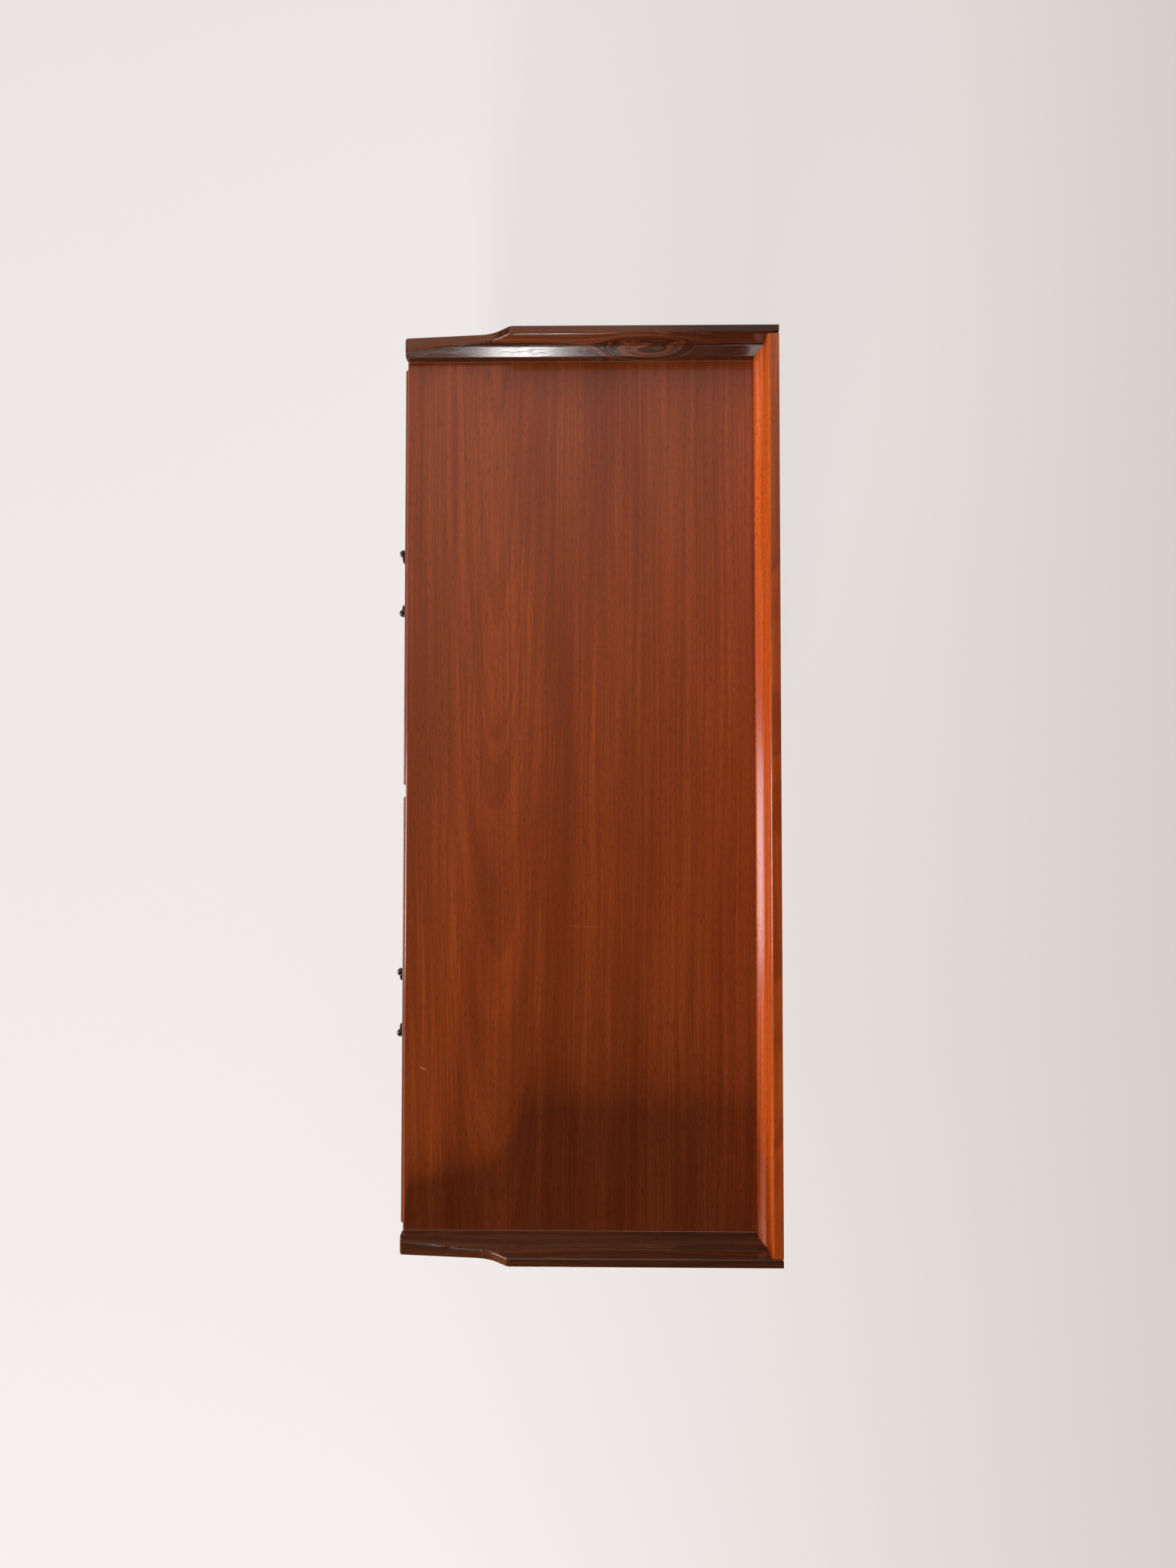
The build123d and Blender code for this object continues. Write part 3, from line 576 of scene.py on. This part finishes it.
def plane_hollow(tree, low, high, tilt):
    """Tilt a leaning face's normal up at its foot and down at its head, as a hollow plane leaves it."""
    coordinates = place(tree, "ShaderNodeTexCoord").outputs["Object"]
    height = place(tree, "ShaderNodeSeparateXYZ", {0: coordinates}).outputs[2]
    normal = place(tree, "ShaderNodeNewGeometry").outputs["Normal"]
    leaning = ramp(tree, place(tree, "ShaderNodeSeparateXYZ", {0: normal}).outputs[2], 0.3, 0.6)
    lean = place(tree, "ShaderNodeMapRange", {
        "Value": height, "From Min": low, "From Max": high, "To Min": tilt, "To Max": -tilt}).outputs[0]
    turn = place(tree, "ShaderNodeCombineXYZ", {2: work(tree, "MULTIPLY", lean, leaning)}).outputs[0]
    tilted = move(tree, "ADD", normal, turn)
    turned = place(tree, "ShaderNodeVectorMath", {0: tilted}, operation="NORMALIZE")
    tree.links.new(turned.outputs[0], tree.nodes["Bump"].inputs["Normal"])


BACK_COVE_ARRIS = 0.0038
LONG_ARRIS = 0.5
HOLLOW_TILT = 0.4
splay_level = top_level + LIP_HEIGHT
plane_hollow(ribbon_mahogany.node_tree, splay_level, splay_level + 1.2 * SPLAY_RISE, HOLLOW_TILT)


def back_strip_arris(first, second):
    """Width of the easing of the back strip's arris: broad along the cove, none at the coped ends."""
    if abs(first.x - second.x) < LONG_ARRIS:
        return 0.0
    on_cove = min(first.z, second.z) > splay_level + PAST_CORNER
    if on_cove and first.y < gallery_middle.y:
        return BACK_COVE_ARRIS
    return PLAIN_ARRIS


finished_board("back_gallery", "case", ribbon_mahogany, BACK_COVE_ARRIS,
               back_strip_arris)

# Drawers: polished mahogany fronts dovetailed to oak sides, with an oak back and a thin bottom in grooves.
# The insides are planed and left unpolished.
PANEL_PALE = tone(196, 150, 102)
PANEL_MIDDLE = tone(180, 132, 86)
PANEL_DARK = tone(138, 94, 58)
PANEL_GRAIN = {"Pith Across": 0.1, "Pith Depth": 0.04, "Pith Tilt": 0.05, "Ring Width": 0.02,
               "Waviness": 0.02, "Streak Width": 0.004, "Pore Length": 0.01}


def panel_wood(node, turn):
    """Plain rotary-cut board, centred on a piece."""
    low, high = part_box(node)
    return sawn_wood(node, turn, (low + high) / 2, PANEL_PALE, PANEL_MIDDLE, PANEL_DARK, PANEL_GRAIN,
                     ring_share=0.5, pore_share=0.3, shine=0.5)


DRAWER_EASING = 0.0003
ROWS = ("upper", "middle", "lower")
COLUMNS = ("left", "right")
for row in ROWS:
    for column in COLUMNS:
        drawer = f"{row}_{column}_drawer"
        front = f"{drawer}_front"
        finished_board(front, drawer, mahogany(front, ALONG_X), POLISHED_EASING)
        for node, turn in ((f"{drawer}_left_side", ALONG_Y), (f"{drawer}_right_side", ALONG_Y),
                           (f"{drawer}_back", ALONG_X)):
            finished_board(node, drawer, oak(node, turn), DRAWER_EASING)
        bottom = f"{drawer}_bottom"
        finished_board(bottom, drawer, panel_wood(bottom, ALONG_X), DRAWER_EASING)

# Pulls: turned bronze posts with a ball end, and a bail of bent bronze wire that swings in their bores.
# The posts are screwed through the front and held by a nut inside, and all of it is patinated nearly black.
BRONZE_DARK = tone(34, 27, 22)
BRONZE_RUBBED = tone(92, 70, 48)


def patinated_bronze():
    """Nearly black waxed bronze that shows its metal in small rubbed patches."""
    material = bpy.data.materials.new("patinated_bronze")
    material.use_nodes = True
    tree = material.node_tree
    surface = tree.nodes["Principled BSDF"]
    coordinates = place(tree, "ShaderNodeTexCoord")
    mottle = place(tree, "ShaderNodeTexNoise", {
        "Vector": coordinates.outputs["Object"], "Scale": 420.0, "Detail": 4.0})
    rubbed = ramp(tree, mottle.outputs[0], 0.5, 0.75)
    tree.links.new(blend_colours(tree, rubbed, BRONZE_DARK, BRONZE_RUBBED), surface.inputs["Base Color"])
    roughness = work(tree, "SUBTRACT", 0.34, work(tree, "MULTIPLY", rubbed, 0.12))
    tree.links.new(roughness, surface.inputs["Roughness"])
    surface.inputs["Metallic"].default_value = 0.9
    surface.inputs["Coat Weight"].default_value = 1.0
    surface.inputs["Coat Roughness"].default_value = 0.12
    return material


BRONZE = patinated_bronze()
BALL_RADIUS = 0.005
BALL_STANDOFF = 0.009
BALL_SEAT_DEGREES = 49.5
BALL_STEPS = 20
NECK_RADIUS = 0.00325
FLANGE_RADIUS = 0.005
FLANGE_THICKNESS = 0.0016
SHANK_WIDTH = 0.0036
SHANK_GAP = 0.0001
NUT_RADIUS = 0.004
NUT_CHAMFER = 0.0005
WIRE_RADIUS = 0.0015
BORE_GAP = 0.0001
BORE_PAST_CENTRE = 0.0025
BORE_OVERSHOOT = 0.001
PIN_PAST_CENTRE = 0.002
BAIL_INSET = 0.0097
BAIL_DROP = 0.026
SHOULDER_RADIUS = 0.004
GRIP_RADIUS = 0.009


def lathe(shape, profile, sides):
    """Turn a profile of radius and height pairs round the Z axis, closed at both ends on the axis."""
    rings = []
    for radius, height in profile:
        if radius == 0:
            rings.append([shape.verts.new((0, 0, height))])
            continue
        angles = [2 * pi * (side + 0.5) / sides for side in range(sides)]
        rings.append([shape.verts.new((radius * cos(a), radius * sin(a), height)) for a in angles])
    for lower, upper in zip(rings, rings[1:]):
        for side in range(sides):
            corners = [lower[side % len(lower)], lower[(side + 1) % sides % len(lower)],
                       upper[(side + 1) % sides % len(upper)], upper[side % len(upper)]]
            shape.faces.new(list(dict.fromkeys(corners)))


def turned_post(front_thickness, nut_thickness):
    """Mesh of one post standing on its flange, with the shank and the nut below."""
    shape = bmesh.new()
    joint = BALL_STANDOFF - (BALL_RADIUS ** 2 - NECK_RADIUS ** 2) ** 0.5
    profile = [(0, 0), (FLANGE_RADIUS, 0), (FLANGE_RADIUS, FLANGE_THICKNESS * 0.6)]
    profile += [(FLANGE_RADIUS * 0.9, FLANGE_THICKNESS), (NECK_RADIUS, FLANGE_THICKNESS * 1.15)]
    profile += [(NECK_RADIUS * 0.86, (FLANGE_THICKNESS + joint) / 2), (NECK_RADIUS, joint)]
    start = -radians(BALL_SEAT_DEGREES)
    for step in range(1, BALL_STEPS):
        angle = start + (pi / 2 - start) * step / BALL_STEPS
        profile.append((BALL_RADIUS * cos(angle), BALL_STANDOFF + BALL_RADIUS * sin(angle)))
    lathe(shape, profile + [(0, BALL_STANDOFF + BALL_RADIUS)], 40)
    shank = SHANK_WIDTH / 2 ** 0.5
    stem = [(0, -front_thickness), (shank, -front_thickness), (shank, -SHANK_GAP), (0, -SHANK_GAP)]
    lathe(shape, stem, 4)
    nut_end = -front_thickness - nut_thickness
    nut = [(0, nut_end), (NUT_RADIUS * 0.85, nut_end), (NUT_RADIUS, nut_end + NUT_CHAMFER)]
    nut += [(NUT_RADIUS, -front_thickness - NUT_CHAMFER), (NUT_RADIUS * 0.9, -front_thickness)]
    lathe(shape, nut + [(0, -front_thickness)], 6)
    bmesh.ops.recalc_face_normals(shape, faces=shape.faces)
    for face in shape.faces:
        face.smooth = True
    mesh = bpy.data.meshes.new("turned_post")
    shape.to_mesh(mesh)
    shape.free()
    mesh.set_sharp_from_angle(angle=radians(40))
    return mesh


def geometry_tree(name, sizes):
    """Geometry Nodes tree with a geometry input, named sizes, a material, and a geometry output."""
    tree = bpy.data.node_groups.new(name, "GeometryNodeTree")
    tree.interface.new_socket("Geometry", in_out="INPUT", socket_type="NodeSocketGeometry")
    for size, kind in sizes:
        tree.interface.new_socket(size, in_out="INPUT", socket_type=kind)
    tree.interface.new_socket("Material", in_out="INPUT", socket_type="NodeSocketMaterial")
    tree.interface.new_socket("Geometry", in_out="OUTPUT", socket_type="NodeSocketGeometry")
    given = tree.nodes.new("NodeGroupInput").outputs
    result = tree.nodes.new("NodeGroupOutput").inputs[0]
    return tree, given, result


def grown(name, data, tree, sizes, material):
    """Plain mesh object that a Geometry Nodes tree grows from a mesh or a curve."""
    seed = bpy.data.objects.new(f"{name}_seed", data)
    bpy.context.scene.collection.objects.link(seed)
    modifier = seed.modifiers.new("Nodes", "NODES")
    modifier.node_group = tree
    for socket in tree.interface.items_tree:
        if socket.in_out == "INPUT" and socket.name in sizes:
            modifier[socket.identifier] = sizes[socket.name]
        if socket.in_out == "INPUT" and socket.name == "Material":
            modifier[socket.identifier] = material
    shown = seed.evaluated_get(bpy.context.evaluated_depsgraph_get())
    mesh = bpy.data.meshes.new_from_object(shown)
    mesh.name = name
    bpy.data.objects.remove(seed)
    piece = bpy.data.objects.new(name, mesh)
    bpy.context.scene.collection.objects.link(piece)
    return piece


def make_posts_tree():
    """Tree that stands two posts on a front, a bore in each ball towards the other post."""
    tree, given, result = geometry_tree("Pull posts", (
        ("Spacing", "NodeSocketFloat"), ("Bore Radius", "NodeSocketFloat"),
        ("Bore Depth", "NodeSocketFloat"), ("Bore Level", "NodeSocketFloat"),
        ("Bore Middle", "NodeSocketFloat"), ("Place", "NodeSocketVector")))
    drill = place(tree, "GeometryNodeMeshCylinder", {
        "Vertices": 24, "Radius": given["Bore Radius"], "Depth": given["Bore Depth"]})
    seat = place(tree, "ShaderNodeCombineXYZ", {0: given["Bore Middle"], 2: given["Bore Level"]}).outputs[0]
    laid = place(tree, "GeometryNodeTransform", {
        "Geometry": drill.outputs["Mesh"], "Translation": seat, "Rotation": Euler((0, pi / 2, 0))})
    bored = place(tree, "GeometryNodeMeshBoolean", {0: given["Geometry"], 1: laid.outputs[0]},
                  operation="DIFFERENCE", solver="EXACT")
    start = place(tree, "ShaderNodeCombineXYZ", {0: work(tree, "MULTIPLY", given["Spacing"], 0.5)})
    step = place(tree, "ShaderNodeCombineXYZ", {0: work(tree, "MULTIPLY", given["Spacing"], -1.0)})
    points = place(tree, "GeometryNodeMeshLine", {
        "Count": 2, "Start Location": start.outputs[0], "Offset": step.outputs[0]})
    index = place(tree, "GeometryNodeInputIndex").outputs[0]
    half_turn = place(tree, "ShaderNodeCombineXYZ", {2: work(tree, "MULTIPLY", index, pi)}).outputs[0]
    posts = place(tree, "GeometryNodeInstanceOnPoints", {
        "Points": points.outputs[0], "Instance": bored.outputs[0], "Rotation": half_turn})
    real = place(tree, "GeometryNodeRealizeInstances", {0: posts.outputs[0]})
    stood = place(tree, "GeometryNodeTransform", {
        "Geometry": real.outputs[0], "Translation": given["Place"], "Rotation": Euler((pi / 2, 0, 0))})
    finish = place(tree, "GeometryNodeSetMaterial", {
        "Geometry": stood.outputs[0], "Material": given["Material"]})
    tree.links.new(finish.outputs[0], result)
    return tree


def make_bail_tree():
    """Tree that bends a wire along a line of corners, with each corner's own radius."""
    tree, given, result = geometry_tree("Bail", (
        ("Wire Radius", "NodeSocketFloat"), ("Place", "NodeSocketVector")))
    corner = place(tree, "GeometryNodeInputRadius").outputs[0]
    bent = place(tree, "GeometryNodeFilletCurve", {
        "Curve": given["Geometry"], "Radius": corner, "Count": 10}, mode="POLY")
    even = place(tree, "GeometryNodeSetCurveRadius", {"Curve": bent.outputs[0], "Radius": 1.0})
    section = place(tree, "GeometryNodeCurvePrimitiveCircle", {
        "Resolution": 20, "Radius": given["Wire Radius"]})
    wire = place(tree, "GeometryNodeCurveToMesh", {
        "Curve": even.outputs[0], "Profile Curve": section.outputs[0], "Fill Caps": True})
    set_in = place(tree, "GeometryNodeTransform", {
        "Geometry": wire.outputs[0], "Translation": given["Place"]})
    real = place(tree, "GeometryNodeRealizeInstances", {0: set_in.outputs[0]})
    finish = place(tree, "GeometryNodeSetMaterial", {
        "Geometry": real.outputs[0], "Material": given["Material"]})
    tree.links.new(finish.outputs[0], result)
    return tree


def bail_line(spacing):
    """Corners of the bail's wire between its two pins, each with the radius of its bend."""
    pin = spacing / 2 + PIN_PAST_CENTRE
    leg = spacing / 2 - BAIL_INSET
    corners = ((-pin, 0, 0.0), (-leg, 0, SHOULDER_RADIUS), (-leg, -BAIL_DROP, GRIP_RADIUS),
               (leg, -BAIL_DROP, GRIP_RADIUS), (leg, 0, SHOULDER_RADIUS), (pin, 0, 0.0))
    line = bpy.data.curves.new("bail_line", "CURVE")
    line.dimensions = "3D"
    spline = line.splines.new("POLY")
    spline.points.add(len(corners) - 1)
    for point, (x, z, radius) in zip(spline.points, corners):
        point.co = (x, 0, z, 1)
        point.radius = radius
    return line


POSTS_TREE = make_posts_tree()
BAIL_TREE = make_bail_tree()
for row in ROWS:
    for column in COLUMNS:
        name = f"{row}_{column}"
        posts_low, posts_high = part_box(f"{name}_pull_posts")
        front_low, front_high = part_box(f"{name}_drawer_front")
        middle = (posts_low + posts_high) / 2
        spacing = posts_high.x - posts_low.x - 2 * FLANGE_RADIUS
        post = turned_post(front_high.y - front_low.y, posts_high.y - front_high.y)
        bore_start = -BALL_RADIUS - BORE_OVERSHOOT
        posts = grown(f"{name}_turned_posts", post, POSTS_TREE, {
            "Spacing": spacing, "Bore Radius": WIRE_RADIUS + BORE_GAP,
            "Bore Depth": BORE_PAST_CENTRE - bore_start,
            "Bore Level": BALL_STANDOFF, "Bore Middle": (BORE_PAST_CENTRE + bore_start) / 2,
            "Place": Vector((middle.x, front_low.y, middle.z))}, BRONZE)
        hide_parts(f"{name}_pull_posts")
        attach(posts, f"{name}_drawer")
        bail = grown(f"{name}_wire_bail", bail_line(spacing), BAIL_TREE, {
            "Wire Radius": WIRE_RADIUS,
            "Place": Vector((middle.x, front_low.y - BALL_STANDOFF, middle.z))}, BRONZE)
        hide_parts(f"{name}_bail")
        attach(bail, f"{name}_bail")

# Back panel: a thin plain board in the rebates of the sides, held by bronze screws round its edge.
# The heads are countersunk just below the face, and their slots stand as the screwdriver left them.
SCREW_INSET = 0.0055
SCREW_RADIUS = 0.0035
SCREW_LENGTH = 0.0025
SCREW_SUNK = 0.0002
SCREW_SLOT = 0.0008
SINK_GAP = 0.0003


def screw_head():
    """Mesh of one countersunk head with its face at Z = 0 and the start of its shank below."""
    shape = bmesh.new()
    shank = SCREW_RADIUS * 0.45
    profile = [(0, -SCREW_LENGTH), (shank, -SCREW_LENGTH), (SCREW_RADIUS, -SINK_GAP)]
    lathe(shape, profile + [(SCREW_RADIUS, 0), (0, 0)], 24)
    bmesh.ops.recalc_face_normals(shape, faces=shape.faces)
    mesh = bpy.data.meshes.new("screw_head")
    shape.to_mesh(mesh)
    shape.free()
    return mesh


def set_round_edge(tree, given, piece, turns):
    """Set a piece at the outer points of a grid, and turn the whole to face backwards on the panel."""
    grid = place(tree, "GeometryNodeMeshGrid", {
        "Size X": given["Width"], "Size Y": given["Height"],
        "Vertices X": given["Columns"], "Vertices Y": given["Rows"]})
    neighbours = place(tree, "GeometryNodeInputMeshVertexNeighbors").outputs[0]
    inner = work(tree, "GREATER_THAN", neighbours, 3.0)
    rim = place(tree, "GeometryNodeDeleteGeometry", {"Geometry": grid.outputs["Mesh"], "Selection": inner})
    pieces = place(tree, "GeometryNodeInstanceOnPoints", {
        "Points": rim.outputs[0], "Instance": piece, "Rotation": turns})
    real = place(tree, "GeometryNodeRealizeInstances", {0: pieces.outputs[0]})
    stood = place(tree, "GeometryNodeTransform", {
        "Geometry": real.outputs[0], "Translation": given["Place"], "Rotation": Euler((-pi / 2, 0, 0))})
    return stood.outputs[0]


RIM_SIZES = (("Width", "NodeSocketFloat"), ("Height", "NodeSocketFloat"), ("Columns", "NodeSocketInt"),
             ("Rows", "NodeSocketInt"), ("Place", "NodeSocketVector"))


def make_screws_tree():
    """Tree that slots a screw head and sets it round the panel, each with its slot at its own angle."""
    tree, given, result = geometry_tree("Panel screws", RIM_SIZES + (
        ("Slot Width", "NodeSocketFloat"), ("Slot Depth", "NodeSocketFloat"), ("Seed", "NodeSocketInt")))
    slot_height = work(tree, "MULTIPLY", given["Slot Depth"], 2.0)
    slot_size = place(tree, "ShaderNodeCombineXYZ", {
        0: SCREW_RADIUS * 3, 1: given["Slot Width"], 2: slot_height})
    blade = place(tree, "GeometryNodeMeshCube", {"Size": slot_size.outputs[0]})
    slotted = place(tree, "GeometryNodeMeshBoolean", {0: given["Geometry"], 1: blade.outputs["Mesh"]},
                    operation="DIFFERENCE", solver="EXACT")
    angle = place(tree, "FunctionNodeRandomValue", {"Seed": given["Seed"]}, data_type="FLOAT")
    half_turns = work(tree, "MULTIPLY", angle.outputs[1], pi)
    turns = place(tree, "ShaderNodeCombineXYZ", {2: half_turns}).outputs[0]
    heads = set_round_edge(tree, given, slotted.outputs[0], turns)
    finish = place(tree, "GeometryNodeSetMaterial", {"Geometry": heads, "Material": given["Material"]})
    tree.links.new(finish.outputs[0], result)
    return tree


def make_sinks_tree():
    """Tree that countersinks a board for the screws."""
    tree, given, result = geometry_tree("Countersinks", RIM_SIZES + (
        ("Sink Radius", "NodeSocketFloat"), ("Sink Depth", "NodeSocketFloat")))
    cutter = place(tree, "GeometryNodeMeshCone", {
        "Vertices": 24, "Radius Top": given["Sink Radius"], "Radius Bottom": SCREW_RADIUS * 0.5,
        "Depth": given["Sink Depth"]})
    sunk = place(tree, "ShaderNodeCombineXYZ", {2: work(tree, "MULTIPLY", given["Sink Depth"], -1.0)})
    lowered = place(tree, "GeometryNodeTransform", {
        "Geometry": cutter.outputs["Mesh"], "Translation": sunk.outputs[0]})
    cutters = set_round_edge(tree, given, lowered.outputs[0], (0.0, 0.0, 0.0))
    cut = place(tree, "GeometryNodeMeshBoolean", {0: given["Geometry"], 1: cutters},
                operation="DIFFERENCE", solver="EXACT")
    finish = place(tree, "GeometryNodeSetMaterial", {
        "Geometry": cut.outputs[0], "Material": given["Material"]})
    tree.links.new(finish.outputs[0], result)
    return tree


panel_low, panel_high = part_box("back_panel")
panel_middle = (panel_low + panel_high) / 2
rim_width = panel_high.x - panel_low.x - 2 * SCREW_INSET
rim_height = panel_high.z - panel_low.z - 2 * SCREW_INSET
rim = {"Width": rim_width, "Height": rim_height, "Columns": 7, "Rows": 4}
board = grown("back_panel_board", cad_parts["back_panel"].data.copy(), make_sinks_tree(),
              dict(rim, **{"Place": Vector((panel_middle.x, panel_high.y + SINK_GAP / 10, panel_middle.z)),
                           "Sink Radius": SCREW_RADIUS + SINK_GAP, "Sink Depth": SCREW_LENGTH + SINK_GAP}),
              panel_wood("back_panel", ALONG_X))
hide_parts("back_panel")
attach(board, "case")
screws = grown("back_panel_screws", screw_head(), make_screws_tree(),
               dict(rim, **{"Place": Vector((panel_middle.x, panel_high.y - SCREW_SUNK, panel_middle.z)),
                            "Slot Width": SCREW_SLOT, "Slot Depth": SCREW_SLOT, "Seed": 7}), BRONZE)
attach(screws, "case")

# Studio: a plain pale floor, soft lamps round the chest and a dim room with a paler ceiling over the left.
# The camera looks down on the top from a little above a person's head, with the front at its left.
FLOOR_HALF = 30.0
FLOOR_PALE = tone(236, 231, 229)
FLOOR_SHADED = tone(203, 198, 192)
FLOOR_GLOW = 0.84


def floor_material():
    """Pale floor with painted shade that makes it a little darker towards the back; it keeps the shadow and
    renders as pale as it is.
    """
    material = bpy.data.materials.new("studio_floor")
    material.use_nodes = True
    tree = material.node_tree
    tree.nodes.remove(tree.nodes["Principled BSDF"])
    coordinates = place(tree, "ShaderNodeTexCoord").outputs["Object"]
    backward = place(tree, "ShaderNodeVectorMath", {0: coordinates, 1: (0.12, 0.99, 0.0)},
                     operation="DOT_PRODUCT")
    shade = ramp(tree, backward.outputs["Value"], -0.3, 1.7)
    colour = blend_colours(tree, shade, FLOOR_PALE, FLOOR_SHADED)
    paths = place(tree, "ShaderNodeLightPath").outputs
    mirrored = work(tree, "MAXIMUM", paths["Is Glossy Ray"], paths["Is Transmission Ray"])
    seen = work(tree, "MAXIMUM", paths["Is Camera Ray"], mirrored)
    matte = place(tree, "ShaderNodeBsdfDiffuse", {"Color": colour})
    bright = place(tree, "ShaderNodeEmission", {"Color": colour, "Strength": 1.0})
    glow = work(tree, "MULTIPLY", seen, FLOOR_GLOW)
    mixed = place(tree, "ShaderNodeMixShader", {0: glow, 1: matte.outputs[0], 2: bright.outputs[0]})
    tree.links.new(mixed.outputs[0], tree.nodes["Material Output"].inputs["Surface"])
    return material


floor_mesh = bpy.data.meshes.new("studio_floor")
corners = [(x * FLOOR_HALF, y * FLOOR_HALF, 0) for x, y in ((-1, -1), (1, -1), (1, 1), (-1, 1))]
floor_mesh.from_pydata(corners, [], [(0, 1, 2, 3)])
floor_mesh.materials.append(floor_material())
floor = bpy.data.objects.new("studio_floor", floor_mesh)
bpy.context.scene.collection.objects.link(floor)


def soft_lamp(name, spot, target, width, height, watts, shine):
    """Soft lamp at a spot, turned to a target: it lights the chest, or only shows in its polish."""
    light = bpy.data.lights.new(name, "AREA")
    light.shape = "RECTANGLE"
    light.size = width
    light.size_y = height
    light.energy = watts
    lamp = bpy.data.objects.new(name, light)
    lamp.location = spot
    lamp.rotation_euler = (Vector(target) - Vector(spot)).to_track_quat("-Z", "Y").to_euler()
    lamp.visible_glossy = shine
    lamp.visible_diffuse = not shine
    bpy.context.scene.collection.objects.link(lamp)


soft_lamp("left_lamp", (-1.25, 0.0, 1.75), (-0.1, 0.0, 0.68), 1.2, 1.2, 12.0, shine=False)
soft_lamp("right_lamp", (7.2, -0.72, 1.9), (0.0, 0.0, 0.68), 1.1, 1.8, 1480.0, shine=False)
soft_lamp("front_lamp", (0.0, -4.4, 0.66), (0.0, 0.2, 0.68), 2.4, 0.52, 112.0, shine=False)
soft_lamp("back_lamp", (0.2, 2.4, 0.5), (0.0, 0.2, 0.35), 1.2, 0.6, 9.0, shine=False)
soft_lamp("right_strip", (7.2, -0.65, 2.9), (0.0, 0.0, 0.68), 0.5, 2.6, 130.0, shine=True)
soft_lamp("left_strip", (-5.0, -1.2, 3.9), (0.5, 0.0, 0.7), 4.0, 1.1, 50.0, shine=True)
soft_lamp("front_strip", (0.16, -1.8, 1.0), (0.1, 0.2, 0.7), 0.62, 1.2, 24.0, shine=True)

ROOM_DIM = (0.045, 0.044, 0.043, 1.0)
ROOM_PALE = (0.6, 0.59, 0.58, 1.0)
world = bpy.data.worlds.new("studio_room")
bpy.context.scene.world = world
world.use_nodes = True
room = world.node_tree
direction = place(room, "ShaderNodeTexCoord").outputs["Generated"]
leftward = place(room, "ShaderNodeVectorMath", {0: direction, 1: (-0.9, -0.44, 0.0)},
                 operation="DOT_PRODUCT").outputs["Value"]
height = place(room, "ShaderNodeSeparateXYZ", {0: direction}).outputs[2]
glow = work(room, "MULTIPLY", ramp(room, leftward, -0.1, 0.5), ramp(room, height, 0.15, 0.6))
room.links.new(blend_colours(room, glow, ROOM_DIM, ROOM_PALE), room.nodes["Background"].inputs["Color"])

CAMERA_SPOT = (0.02931, 0.02409, 1.87783)
CAMERA_TURN_DEGREES = (1.7728, 0.7318, 90.0405)
CAMERA_LENS = 22.945
CAMERA_SENSOR = 36.0
camera = bpy.data.objects.new("camera", bpy.data.cameras.new("camera"))
camera.data.sensor_width = CAMERA_SENSOR
camera.data.lens = CAMERA_LENS
camera.location = CAMERA_SPOT
camera.rotation_euler = [radians(turn) for turn in CAMERA_TURN_DEGREES]
bpy.context.scene.collection.objects.link(camera)
bpy.context.scene.camera = camera
bpy.context.scene.view_settings.view_transform = "Standard"
